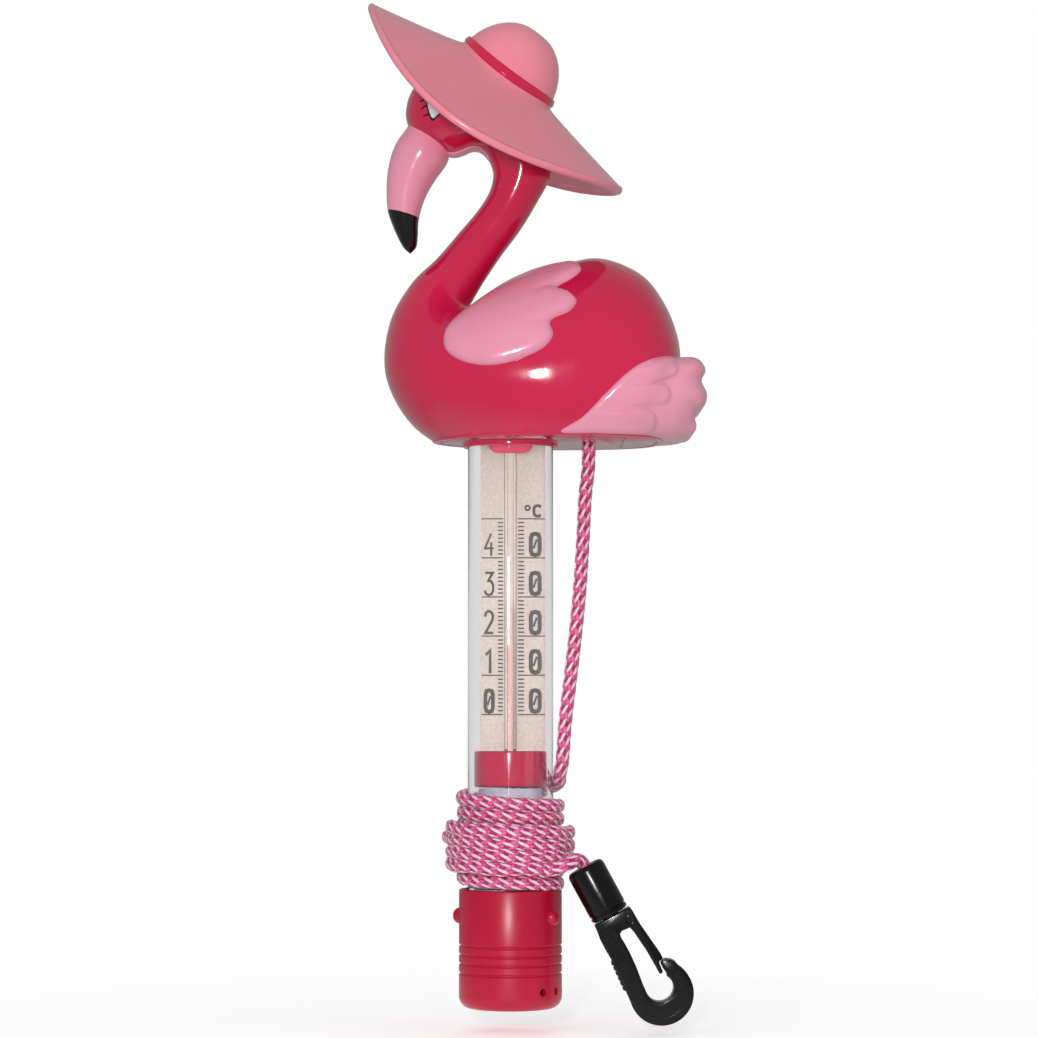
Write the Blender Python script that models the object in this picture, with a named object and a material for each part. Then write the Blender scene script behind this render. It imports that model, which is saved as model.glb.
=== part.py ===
"""A floating pool thermometer: a flamingo float in a sun hat, a clear scale tube, a perforated bulb
cup, and a braided cord that is wound round the tube and ends in a snap hook.

Frame: +Z up, the flamingo looks along -X, and the scale faces -Y. The origin is on the tube's axis
at the flat underside of the float. Every size below is in millimetres; MM turns it into metres."""

import math

import bmesh
import bpy
import numpy as np
from mathutils import Matrix, Vector
from mathutils.bvhtree import BVHTree
from mathutils.geometry import delaunay_2d_cdt

MM = 0.001
GAP = 0.3  # clearance between pieces that touch

# Float: (back x, back z, belly x, belly z, half width) of each slice, from the rump to the face.
FLOAT_SLICES = [
    (40.1, 16.7, 40.1, 16.7, 0.0),
    (39.2, 25.1, 38.7, 7.5, 13.0),
    (36.1, 32.9, 35.4, -1.0, 20.0),
    (30.9, 39.5, 29.7, -7.0, 24.0),
    (21.0, 43.5, 20.6, -11.0, 26.0),
    (11.6, 41.8, 10.7, -11.5, 26.5),
    (3.6, 38.8, -0.6, -9.0, 26.0),
    (-3.2, 35.2, -12.6, -2.8, 24.5),
    (-7.2, 32.7, -23.4, 4.5, 21.5),
    (-9.0, 31.6, -29.4, 16.0, 17.0),
    (-9.8, 32.0, -28.4, 28.4, 12.5),
    (-9.0, 33.6, -23.4, 37.6, 9.0),
    (-6.2, 38.3, -17.3, 43.7, 7.0),
    (-2.0, 44.6, -12.1, 49.8, 6.0),
    (2.2, 50.3, -7.6, 55.2, 5.9),
    (6.2, 56.9, -4.9, 59.7, 6.1),
    (9.3, 63.0, -4.1, 63.7, 6.6),
    (10.0, 69.8, -5.1, 67.0, 7.2),
    (8.1, 77.8, -6.2, 68.6, 8.0),
    (3.6, 84.8, -7.6, 69.4, 9.3),
    (-2.5, 88.8, -9.3, 69.4, 10.4),
    (-11.2, 90.0, -11.2, 68.6, 11.0),
    (-18.9, 88.4, -13.7, 68.1, 10.8),
    (-23.4, 83.4, -17.0, 69.1, 9.2),
    (-24.8, 78.3, -20.3, 71.2, 6.0),
    (-23.9, 74.0, -23.9, 74.0, 0.0),
]
FLOAT_WALL = 1.8
FLOAT_RINGS = 46  # slices in the finished skin
FLOAT_SIDES = 28

# Beak: (front x, front z, throat x, throat z, half width), from inside the head to the tip.
BEAK_SLICES = [
    (-21.5, 79.5, -10.5, 74.0, 6.5),
    (-24.6, 74.6, -10.9, 69.4, 7.4),
    (-27.1, 71.0, -14.0, 66.5, 7.0),
    (-28.6, 66.7, -17.0, 63.4, 6.3),
    (-29.3, 61.3, -19.6, 59.5, 5.2),
    (-29.0, 55.0, -21.4, 54.3, 4.1),
    (-28.0, 51.9, -21.8, 51.7, 3.5),
    (-26.8, 49.1, -21.9, 48.9, 2.8),
    (-25.3, 46.3, -22.3, 46.3, 1.7),
    (-23.7, 44.8, -23.7, 44.8, 0.0),
]
TIP_SPLIT = ((-29.0, 55.2), (-21.6, 53.2))  # front and throat ends of the black tip's edge

# Side outlines (x, z) of the pieces laid on the float.
WING_OUTLINE = [
    (-8.1, 31.0), (-1.3, 36.0), (6.9, 39.8), (12.4, 41.4), (15.6, 41.0), (16.4, 39.2), (14.7, 37.2),
    (10.7, 34.3), (13.6, 33.0), (15.2, 31.0), (13.9, 28.6), (9.2, 25.9), (9.8, 22.8), (8.0, 20.0),
    (2.5, 17.2), (-4.2, 15.7), (-10.9, 16.8), (-14.7, 19.6), (-15.3, 22.9), (-13.2, 26.8),
]
WING_HEIGHT = 1.5
WING_TILT = math.radians(35)  # the wing is laid on from above and outside
TAIL_OUTLINE = [
    (11.6, 0.8), (16.4, 4.0), (21.8, 9.4), (26.1, 13.6), (29.8, 16.3), (34.2, 18.0), (38.7, 18.7),
    (43.4, 18.5), (45.2, 16.0), (44.3, 13.4), (45.5, 10.5), (45.0, 7.8), (43.0, 6.0), (43.0, 2.2),
    (40.8, 0.6), (30.0, 0.4), (20.0, 0.5),
]
TAIL_WIDTHS = [(11.9, 15.0), (22.0, 20.5), (33.0, 22.0), (46.5, 18.5)]  # (x, half width)
TAIL_FOOT = [(11.9, 15.0), (22.6, 19.5), (28.0, 17.5), (33.0, 14.0), (38.3, 9.0), (43.3, 2.5)]
TAIL_FOOT_HEIGHT = 9.5  # above this the tail has its full width
TAIL_ROUND = 6.0
TAIL_LIFT = 1.2  # how far the tail stands off the float
EYE_CENTRE = (-16.6, 80.2)
EYE_RADII = (3.6, 4.4)
EYE_HEIGHT = 0.9

# Hat: built about the crown's base, then leant back and tipped a little to the flamingo's left.
HAT_CENTRE = (-0.4, 87.9)
HAT_LEAN = math.radians(37.65)
HAT_TIP = math.radians(6.2)
HAT_WALL = 1.6
CROWN_PROFILE = [  # (radius, height)
    (0.0, 11.7), (4.0, 11.2), (7.3, 9.4), (9.8, 6.7), (11.4, 3.7), (12.1, 1.5), (12.4, 0.1), (13.1, -0.9),
]
CROWN_SAG = 0.9  # how much lower the crown's foot is at the sides, halved
BRIM_SHIFT = -9.3
BRIM_REACH = (36.7, 10.55, 0.55)  # about the shifted centre: mean, and swings once and twice round
BRIM_EDGE = (-11.3, -0.9, 5.2, 1.5)  # the edge's height: mean, and swings once, twice and three times round
BRIM_STEPS = 6
HAT_SIDES = 48
BAND_RINGS = (4.5, 6.0)  # between which of the crown profile's points the band lies
BAND_HEIGHT = 0.7
HAT_POST_RADIUS = 4.0

# Scale tube and what is inside it.
TUBE_RADIUS, TUBE_WALL = 10.0, 1.2
TUBE_TOP, TUBE_BOTTOM = 12.0, -116.0
BORE = TUBE_RADIUS - TUBE_WALL
STEM_Y = -1.1  # the glass stem stands in front of the card
STEM_RADIUS, STEM_BORE = 1.4, 0.6
STEM_TOP, STEM_BOTTOM = 1.0, -128.6
BULB_RADIUS, BULB_TOP = 2.6, -112.0
CARD_HALF_WIDTH, CARD_THICK = 7.75, 0.6
CARD_BACK_Y = 1.2
HOLDER_TOP, HOLDER_BOTTOM = -72.1, -80.4
DEGREE = 0.906  # scale length of one degree Celsius
ZERO_MARK = -63.6
READING = 27.0
THREAD_RADIUS, THREAD_BOTTOM = 0.4, -102.2
BUNG_TOP, BUNG_BOTTOM = -99.8, -108.5

# Float base.
BASE_THICK = 2.0
SOCKET_RADIUS, SOCKET_TOP = 13.2, 14.2
COLLAR_RADIUS, COLLAR_DROP = 11.2, 1.2
O_RING_Z = 6.0
O_RING_SECTION = 0.6

# Bulb cup.
CUP_RADIUS, CUP_WALL = 12.0, 1.5
CUP_TOP, CUP_BOTTOM = -104.3, -131.9
CUP_FLOOR = 2.0
CUP_GROOVES = (-117.3, -119.4, -121.5, -123.7)
PIN_ANGLES = (55, 160, 265)  # degrees from the front, towards +X
PIN_Z, PIN_RADIUS = -110.6, 1.9
HOLE_ANGLES = (39, 62, 85, 219, 242, 265)
HOLE_Z, HOLE_RADIUS = -127.6, 0.9

# Cord.
CORD_RADIUS = 1.6
CORD_HOLE_X = 18.4
CORD_LEAD = [
    (18.4, 0.0, 4.0), (18.4, 0.0, -1.0), (18.3, 0.0, -6.0), (17.6, -0.2, -12.0), (17.0, -0.7, -23.0),
    (16.3, -1.4, -36.0), (15.0, -2.3, -51.0), (13.5, -3.2, -66.0), (12.0, -4.0, -77.0), (11.3, -4.3, -82.3),
]
COIL_TOP, COIL_BOTTOM = -82.6, -104.1
COIL_BULGE = [(13.5, -83.2), (14.0, -88.0), (15.9, -91.0), (16.4, -96.0), (15.4, -99.5), (13.6, -103.7)]
CORD_TAIL = [(13.0, -13.1, -95.8), (14.8, -11.1, -95.6), (15.9, -9.3, -96.1)]
KNOT_RADIUS = 2.7

# Snap hook, drawn in its own plane: a runs from the barrel to the bowl, b towards the gate.
HOOK_ORIGIN = (23.1, -7.6, -109.9)
HOOK_LEAN = math.radians(28.5)
BARREL_RADIUS, BARREL_LENGTH = 4.5, 12.7
HOOK_NECK_RADIUS, HOOK_HEAD_RADIUS = 2.0, 2.8
HOOK_THICK, GATE_THICK = 5.6, 3.2
BOWL = (21.15, 1.8)  # centre (a, b) of the hook's round end
BOWL_RADIUS, BOWL_BORE = 7.4, 3.2
GATE_PIVOT = (2.9, 3.6)  # (a, b)
GATE_PIVOT_RADIUS = 0.9
GATE_TIP = 17.3

# Materials: colour, roughness, metallic, alpha.
PAINTS = {
    "hot_pink": ((0.62, 0.015, 0.085), 0.18, 0.0, 1.0),
    "light_pink": ((0.83, 0.24, 0.37), 0.22, 0.0, 1.0),
    "hat_pink": ((0.80, 0.22, 0.32), 0.25, 0.0, 1.0),
    "cup_red": ((0.50, 0.012, 0.05), 0.35, 0.0, 1.0),
    "black_plastic": ((0.012, 0.012, 0.014), 0.35, 0.0, 1.0),
    "eye_white": ((0.8, 0.8, 0.82), 0.2, 0.0, 1.0),
    "clear_plastic": ((0.9, 0.9, 0.95), 0.05, 0.0, 0.3),
    "glass": ((0.95, 0.95, 0.93), 0.02, 0.0, 0.35),
    "card": ((0.72, 0.66, 0.56), 0.6, 0.0, 1.0),
    "spirit": ((0.6, 0.03, 0.03), 0.2, 0.0, 1.0),
    "rubber": ((0.45, 0.44, 0.48), 0.6, 0.0, 1.0),
    "steel": ((0.55, 0.55, 0.57), 0.3, 1.0, 1.0),
    "cord": ((0.80, 0.20, 0.42), 0.7, 0.0, 1.0),
}


# ---------------------------------------------------------------- general tools

def material(paint):
    """The Principled material of that name, made once."""
    found = bpy.data.materials.get(paint)
    if found:
        return found
    colour, roughness, metallic, alpha = PAINTS[paint]
    made = bpy.data.materials.new(paint)
    made.use_nodes = True
    shader = made.node_tree.nodes["Principled BSDF"]
    shader.inputs["Base Color"].default_value = (*colour, 1.0)
    shader.inputs["Roughness"].default_value = roughness
    shader.inputs["Metallic"].default_value = metallic
    shader.inputs["Alpha"].default_value = alpha
    return made


def solid(name, points, faces, paint="hot_pink"):
    """An object from points in millimetres, with its faces turned outwards."""
    mesh = bpy.data.meshes.new(name)
    mesh.from_pydata([Vector(p) * MM for p in points], [], faces)
    work = bmesh.new()
    work.from_mesh(mesh)
    bmesh.ops.recalc_face_normals(work, faces=work.faces)
    work.to_mesh(mesh)
    work.free()
    mesh.shade_smooth()
    mesh.set_sharp_from_angle(angle=math.radians(40))
    made = bpy.data.objects.new(name, mesh)
    made.data.materials.append(material(paint))
    bpy.context.scene.collection.objects.link(made)
    return made


def combine(target, other, operation="DIFFERENCE", keep=False):
    """Applies a Boolean of other to target, and removes other unless it is kept."""
    modifier = target.modifiers.new("combine", "BOOLEAN")
    modifier.operation = operation
    modifier.object = other
    modifier.solver = "EXACT"
    bpy.context.view_layer.update()
    evaluated = target.evaluated_get(bpy.context.evaluated_depsgraph_get())
    result = bpy.data.meshes.new_from_object(evaluated)
    target.modifiers.clear()
    target.data = result
    if not keep:
        bpy.data.objects.remove(other)
    return target


def box(low, high, paint="hot_pink"):
    """A plain block between two corners."""
    corners = [(x, y, z) for x in (low[0], high[0]) for y in (low[1], high[1]) for z in (low[2], high[2])]
    faces = [(0, 1, 3, 2), (4, 6, 7, 5), (0, 4, 5, 1), (2, 3, 7, 6), (0, 2, 6, 4), (1, 5, 7, 3)]
    return solid("block", corners, faces, paint)


def turned(name, profile, paint="hot_pink", sides=32, centre=(0.0, 0.0)):
    """A solid of revolution about a vertical axis through centre. The profile is a closed loop of
    (radius, z), or an open one whose two ends are on the axis."""
    points, rings = [], []
    for radius, z in profile:
        ring = []
        for i in range(1 if radius == 0 else sides):
            angle = math.tau * i / sides
            ring.append(len(points))
            points.append((centre[0] + radius * math.cos(angle), centre[1] + radius * math.sin(angle), z))
        rings.append(ring)
    faces = []
    closed = profile[0][0] > 0 or profile[-1][0] > 0
    for i in range(len(rings) if closed else len(rings) - 1):
        one, two = rings[i], rings[(i + 1) % len(rings)]
        for k in range(sides):
            quad = [one[k % len(one)], one[(k + 1) % len(one)], two[(k + 1) % len(two)], two[k % len(two)]]
            quad = list(dict.fromkeys(quad))
            if len(quad) > 2:
                faces.append(quad)
    return solid(name, points, faces, paint)


def disc_bar(radius, start, end, sides=16):
    """A plain round bar from start to end."""
    direction = Vector(end) - Vector(start)
    bar = turned("bar", [(0, 0), (radius, 0), (radius, direction.length), (0, direction.length)], sides=sides)
    turn = direction.to_track_quat("Z", "Y").to_matrix().to_4x4()
    bar.data.transform(Matrix.Translation(Vector(start) * MM) @ turn)
    return bar


def smooth_through(rows, count, closed=False):
    """count rows on a smooth curve (Catmull-Rom by chord length) through the given rows of numbers."""
    rows = [tuple(float(v) for v in row) for row in rows]
    if closed:
        rows = [rows[-1], *rows, rows[0], rows[1]]
    else:
        first = tuple(2 * a - b for a, b in zip(rows[0], rows[1]))
        last = tuple(2 * a - b for a, b in zip(rows[-1], rows[-2]))
        rows = [first, *rows, last]
    knots = [0.0]
    for one, two in zip(rows, rows[1:]):
        knots.append(knots[-1] + max(1e-6, math.dist(one, two)) ** 0.5)
    start, end = knots[1], knots[-2]
    made, k = [], 1
    for i in range(count):
        t = start + (end - start) * i / (count if closed else count - 1)
        while k < len(rows) - 3 and t > knots[k + 1]:
            k += 1
        t0, t1, t2, t3 = knots[k - 1 : k + 3]
        made.append(tuple(
            catmull(p0, p1, p2, p3, t0, t1, t2, t3, t)
            for p0, p1, p2, p3 in zip(rows[k - 1], rows[k], rows[k + 1], rows[k + 2])
        ))
    return made


def catmull(p0, p1, p2, p3, t0, t1, t2, t3, t):
    """One coordinate of a Catmull-Rom curve between p1 at t1 and p2 at t2."""
    a1 = (t1 - t) / (t1 - t0) * p0 + (t - t0) / (t1 - t0) * p1
    a2 = (t2 - t) / (t2 - t1) * p1 + (t - t1) / (t2 - t1) * p2
    a3 = (t3 - t) / (t3 - t2) * p2 + (t - t2) / (t3 - t2) * p3
    b1 = (t2 - t) / (t2 - t0) * a1 + (t - t0) / (t2 - t0) * a2
    b2 = (t3 - t) / (t3 - t1) * a2 + (t - t1) / (t3 - t1) * a3
    return (t2 - t) / (t2 - t1) * b1 + (t - t1) / (t2 - t1) * b2


def loft(name, slices, rings, sides, offset=0.0, paint="hot_pink"):
    """A closed skin through upright-sided slices (back x, z, belly x, z, half width), grown by offset."""
    points, loops = [], []
    for back_x, back_z, belly_x, belly_z, half_width in smooth_through(slices, rings):
        middle = Vector(((back_x + belly_x) / 2, 0, (back_z + belly_z) / 2))
        half = Vector(((back_x - belly_x) / 2, 0, (back_z - belly_z) / 2))
        if half.length + offset < 0.4 or half_width + offset < 0.4:
            continue
        across = half.normalized() * (half.length + offset)
        loops.append(range(len(points), len(points) + sides))
        for i in range(sides):
            angle = math.tau * i / sides
            side = Vector((0, math.sin(angle) * (half_width + offset), 0))
            points.append(middle + across * math.cos(angle) + side)
    faces = [
        (one[i], one[(i + 1) % sides], two[(i + 1) % sides], two[i])
        for one, two in zip(loops, loops[1:])
        for i in range(sides)
    ]
    for slice_end, loop in ((slices[0], loops[0]), (slices[-1], loops[-1])):
        pole = Vector((slice_end[0], 0, slice_end[1]))
        centre = sum((points[i] for i in loop), Vector()) / sides
        points.append(pole + (pole - centre).normalized() * offset)
        faces += [(loop[i], loop[(i + 1) % sides], len(points) - 1) for i in range(sides)]
    return solid(name, points, faces, paint)


def skin_tree(made):
    """A search tree of an object's surface, in metres."""
    return BVHTree.FromPolygons([v.co for v in made.data.vertices], [tuple(p.vertices) for p in made.data.polygons])


def extruded(name, outline, low_y, high_y, paint):
    """A plate of the (x, z) outline between two y values."""
    count = len(outline)
    points = [(x, y, z) for y in (low_y, high_y) for x, z in outline]
    faces = [tuple(range(count)), tuple(range(2 * count - 1, count - 1, -1))]
    faces += [(i, (i + 1) % count, count + (i + 1) % count, count + i) for i in range(count)]
    return solid(name, points, faces, paint)


def arc(centre, radius, start, end, count):
    """Points on an arc, with its angles in degrees."""
    steps = [math.radians(start + (end - start) * i / (count - 1)) for i in range(count)]
    return [(centre[0] + radius * math.cos(t), centre[1] + radius * math.sin(t)) for t in steps]


def set_origin(made, place):
    """Moves an object's origin and axes to place, and leaves its shape where it is."""
    made.data.transform(place.inverted())
    made.matrix_world = place


def clear_scene():
    for found in list(bpy.data.objects):
        bpy.data.objects.remove(found)


# ---------------------------------------------------------------- float

def float_shells():
    """The two glued halves of the body, neck and head, open at the flat underside."""
    for name, side in (("float_shell_left", -1), ("float_shell_right", 1)):
        shell = loft(name, FLOAT_SLICES, FLOAT_RINGS, FLOAT_SIDES)
        combine(shell, loft("cavity", FLOAT_SLICES, FLOAT_RINGS, FLOAT_SIDES, -FLOAT_WALL))
        low_y, high_y = sorted((side * GAP / 2, side * 60))
        combine(shell, box((-60, low_y, 0), (60, high_y, 120)), "INTERSECT")
        combine(shell, disc_bar(SOCKET_RADIUS - 1.0, (0, 0, -5), (0, 0, 5), 32))


def float_base():
    """The plate that closes the float, with the tube's socket, its collar and the cord's hole."""
    base = loft("float_base", FLOAT_SLICES, FLOAT_RINGS, FLOAT_SIDES, -FLOAT_WALL - GAP)
    combine(base, box((-60, -60, 0), (60, 60, BASE_THICK)), "INTERSECT")
    socket = turned("socket", [
        (0, SOCKET_TOP), (SOCKET_RADIUS, SOCKET_TOP), (SOCKET_RADIUS, 4.0), (COLLAR_RADIUS + 0.4, 3.0),
        (COLLAR_RADIUS, 0.5), (COLLAR_RADIUS, -COLLAR_DROP), (0, -COLLAR_DROP)])
    combine(base, socket, "UNION")
    bore = TUBE_RADIUS + GAP
    groove = O_RING_Z - O_RING_SECTION - GAP, O_RING_Z + O_RING_SECTION + GAP
    groove_radius = bore + 2 * O_RING_SECTION + GAP
    combine(base, turned("bore", [
        (0, TUBE_TOP + GAP), (bore, TUBE_TOP + GAP), (bore, groove[1]), (groove_radius, groove[1]),
        (groove_radius, groove[0]), (bore, groove[0]), (bore, -5), (0, -5)]))
    combine(base, disc_bar(CORD_RADIUS + GAP, (CORD_HOLE_X, 0, -5), (CORD_HOLE_X, 0, 5)))
    ring_radius = bore + O_RING_SECTION
    section = arc((ring_radius, O_RING_Z), O_RING_SECTION, 0, 315, 8)
    turned("socket_o_ring", section, "rubber", 28)


def relief(name, outline, tree, height, step, tilt, side, paint):
    """A raised panel laid on a skin: the (x, z) outline as seen from one side, from GAP above the
    skin to height above it. It is meshed in a plane that leans by tilt."""
    normal = Vector((0, side * math.cos(tilt), math.sin(tilt)))
    up = Vector((0, -side * math.sin(tilt), math.cos(tilt)))
    rim = []
    for x, z in outline:
        hit = tree.ray_cast(Vector((x, side * 60, z)) * MM, Vector((0, -side, 0)))[0] / MM
        rim.append(Vector((hit.x, hit.dot(up))))
    low = [min(p[k] for p in rim) for k in range(2)]
    high = [max(p[k] for p in rim) for k in range(2)]
    inner = []
    for i in range(int((high[0] - low[0]) / step) + 1):
        for k in range(int((high[1] - low[1]) / step) + 1):
            point = Vector((low[0] + (i + 0.5 * (k % 2)) * step, low[1] + k * step))
            if min((point - p).length for p in rim) > 0.5 * step:
                inner.append(point)
    border = [(i, (i + 1) % len(rim)) for i in range(len(rim))]
    flat, _, cells, _, _, _ = delaunay_2d_cdt(rim + inner, border, [], 1, 1e-6)
    points = []
    for lift in (GAP, height):
        for p in flat:
            origin = Vector((p.x, 0, 0)) + up * p.y + normal * 80
            hit, surface_normal, _, _ = tree.ray_cast(origin * MM, -normal)
            outwards = surface_normal if surface_normal.dot(normal) > 0 else -surface_normal
            points.append(hit / MM + outwards * lift)
    count = len(flat)
    edges = {}
    for cell in cells:
        for a, b in zip(cell, [*cell[1:], cell[0]]):
            edges[frozenset((a, b))] = edges.get(frozenset((a, b)), []) + [(a, b)]
    faces = [tuple(cell) for cell in cells] + [tuple(count + i for i in reversed(cell)) for cell in cells]
    for uses in edges.values():
        if len(uses) == 1:
            a, b = uses[0]
            faces.append((b, a, count + a, count + b))
    return solid(name, points, faces, paint)


def wings(tree):
    outline = smooth_through(WING_OUTLINE, 56, closed=True)
    for name, side in (("wing_left", -1), ("wing_right", 1)):
        relief(name, outline, tree, WING_HEIGHT, 2.6, WING_TILT, side, "light_pink")


def tail_half_width(x, z, rim, tree):
    """How far the tail reaches out at (x, z): a rounded block, or the float's own skin plus a step."""
    foot = float(np.interp(x, *zip(*TAIL_FOOT)))
    rise = min(1.0, max(0.0, (z - 0.6) / TAIL_FOOT_HEIGHT))
    block = foot + (float(np.interp(x, *zip(*TAIL_WIDTHS))) - foot) * math.sqrt(1 - (1 - rise) ** 2)
    depth = min(TAIL_ROUND, min(math.dist((x, z), p) for p in rim))
    block -= TAIL_ROUND - math.sqrt(TAIL_ROUND**2 - (TAIL_ROUND - depth) ** 2)
    hit = tree.ray_cast(Vector((x, -60, z)) * MM, Vector((0, 1, 0)))[0]
    return block if hit is None else max(block, -hit.y / MM + TAIL_LIFT)


def tail(tree):
    """The feathered tail, which wraps round the rump and stands on the same flat underside."""
    outline = smooth_through(TAIL_OUTLINE, 64, closed=True)
    free = [p for p in outline if p[0] > 34 and p[1] > 4]
    step = 2.6
    inner = [
        Vector((12 + (i + 0.5 * (k % 2)) * step, 2 + k * step))
        for i in range(15) for k in range(8)
    ]
    rim = [Vector(p) for p in outline]
    border = [(i, (i + 1) % len(rim)) for i in range(len(rim))]
    inner = [p for p in inner if min((p - q).length for q in rim) > 0.5 * step]
    flat, _, cells, _, _, _ = delaunay_2d_cdt(rim + inner, border, [], 1, 1e-6)
    widths = [tail_half_width(p.x, p.y, free, tree) for p in flat]
    points = [(p.x, side * w, p.y) for side in (-1, 1) for p, w in zip(flat, widths)]
    count = len(flat)
    uses = {}
    for cell in cells:
        for a, b in zip(cell, [*cell[1:], cell[0]]):
            uses.setdefault(frozenset((a, b)), []).append((a, b))
    faces = [tuple(cell) for cell in cells] + [tuple(count + i for i in reversed(cell)) for cell in cells]
    faces += [(b, a, count + a, count + b) for (a, b), *more in uses.values() if not more]
    made = solid("tail", points, faces, "light_pink")
    combine(made, loft("rump", FLOAT_SLICES, FLOAT_RINGS, FLOAT_SIDES, GAP))


def beak():
    """The beak, hollowed to sit on the face, and its black tip as a second piece."""
    upper = loft("beak", BEAK_SLICES, 22, 16, paint="light_pink")
    tip = loft("beak_tip", BEAK_SLICES, 22, 16, paint="black_plastic")
    combine(upper, loft("face", FLOAT_SLICES, FLOAT_RINGS, FLOAT_SIDES, GAP))
    (front_x, front_z), (throat_x, throat_z) = TIP_SPLIT
    lean = math.atan2(throat_z - front_z, throat_x - front_x)
    centre = Vector(((front_x + throat_x) / 2, 0, (front_z + throat_z) / 2)) * MM
    place = Matrix.Translation(centre) @ Matrix.Rotation(-lean, 4, "Y")
    below = box((-40, -30, -40), (40, 30, GAP / 2))
    below.data.transform(place)
    combine(upper, below)
    above = box((-40, -30, -GAP / 2), (40, 30, 60))
    above.data.transform(place)
    combine(tip, above)


def eyes():
    """A shallow lens on each side of the head."""
    for name, side in (("eye_left", -1), ("eye_right", 1)):
        x, z = EYE_CENTRE
        eye = turned(name, [(0, 9), *arc((0, 0), 9, 80, 10, 6), (9, 0), (0, 0)], "eye_white", 20)
        scale = Matrix.Diagonal((EYE_RADII[0] / 9, EYE_RADII[1] / 9, 1.32, 1))
        turn = Matrix.Rotation(side * -math.pi / 2, 4, "X")
        eye.data.transform(Matrix.Translation(Vector((x, 0, z)) * MM) @ turn @ scale)
        combine(eye, loft("head", FLOAT_SLICES, FLOAT_RINGS, FLOAT_SIDES, GAP))


# ---------------------------------------------------------------- hat

def hat_frame():
    """From the hat's own axes (back, side, up) to the row frame, in millimetres."""
    back = Vector((math.cos(HAT_LEAN), 0, -math.sin(HAT_LEAN)))
    up = Vector((math.sin(HAT_LEAN), 0, math.cos(HAT_LEAN)))
    side = Vector((0, 1, 0))
    tipped = [side * math.cos(HAT_TIP) + up * math.sin(HAT_TIP), up * math.cos(HAT_TIP) - side * math.sin(HAT_TIP)]
    place = Matrix((back, *tipped)).transposed().to_4x4()
    place.translation = Vector((HAT_CENTRE[0], 0, HAT_CENTRE[1]))
    return place


def swings(amounts, angle):
    """A wave round the hat: the mean and how far it swings once, twice and more times round."""
    return sum(amount * math.cos(k * angle) for k, amount in enumerate(amounts))


def hat_point(t, angle):
    """A point of the hat's upper face. t runs 0 to 7 down the crown, then to 8 at the brim's edge."""
    crown = len(CROWN_PROFILE) - 1
    sag = CROWN_SAG * (math.cos(2 * angle) - 1)
    if t <= crown:
        k = min(int(t), crown - 1)
        (r0, n0), (r1, n1) = CROWN_PROFILE[k : k + 2]
        radius, height = r0 + (r1 - r0) * (t - k), n0 + (n1 - n0) * (t - k)
        height += sag * (t / crown) ** 3
        return Vector((radius * math.cos(angle), radius * math.sin(angle), height))
    share = t - crown
    foot_radius, foot = CROWN_PROFILE[-1][0], CROWN_PROFILE[-1][1] + sag
    radius = foot_radius + (swings(BRIM_REACH, angle) - foot_radius) * share
    height = foot + (swings(BRIM_EDGE, angle) - foot) * share**0.87
    return Vector((radius * math.cos(angle) + BRIM_SHIFT * share, radius * math.sin(angle), height))


def hat_normal(t, angle):
    small = 0.02
    along = hat_point(t + small, angle) - hat_point(max(t - small, 0.01), angle)
    round_it = hat_point(t, angle + small) - hat_point(t, angle - small)
    return along.cross(round_it).normalized()


def hat_layer(name, stations, low, high, paint, dome=True):
    """A closed sheet that follows the hat between two heights over its upper face."""
    place = hat_frame()
    points, rings = [], []
    for lift in (high, low):
        for t in stations:
            ring = []
            for i in range(1 if t == 0 else HAT_SIDES):
                angle = math.tau * i / HAT_SIDES
                offset = Vector((0, 0, lift)) if t == 0 else hat_normal(t, angle) * lift
                ring.append(len(points))
                points.append(place @ (hat_point(t, angle) + offset))
            rings.append(ring)
    count = len(stations)
    order = list(range(count)) + list(range(2 * count - 1, count - 1, -1))
    faces = []
    for one, two in zip(order, order[1:] + ([] if dome else [0])):
        a, b = rings[one], rings[two]
        for k in range(HAT_SIDES):
            quad = [a[k % len(a)], a[(k + 1) % len(a)], b[(k + 1) % len(b)], b[k % len(b)]]
            quad = list(dict.fromkeys(quad))
            if len(quad) > 2:
                faces.append(quad)
    return solid(name, points, faces, paint)


def hat():
    """The moulded hat, its band, and the post that carries it on the head."""
    crown = len(CROWN_PROFILE) - 1
    stations = [*range(crown + 1), *[crown + (i + 1) / BRIM_STEPS for i in range(BRIM_STEPS)]]
    hat_layer("hat", stations, -HAT_WALL, 0, "hat_pink")
    low, high = BAND_RINGS
    band = [low, (low + high) / 2, high]
    hat_layer("hat_band", band, GAP / 2, BAND_HEIGHT, "hot_pink", dome=False)
    post = turned("hat_post", [(0, 9.6), (HAT_POST_RADIUS, 8.0), (HAT_POST_RADIUS, -8), (0, -8)], sides=24)
    place = hat_frame()
    place.translation = place.translation * MM
    post.data.transform(place)
    combine(post, loft("head", FLOAT_SLICES, FLOAT_RINGS, FLOAT_SIDES, GAP))


# ---------------------------------------------------------------- scale tube

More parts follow.
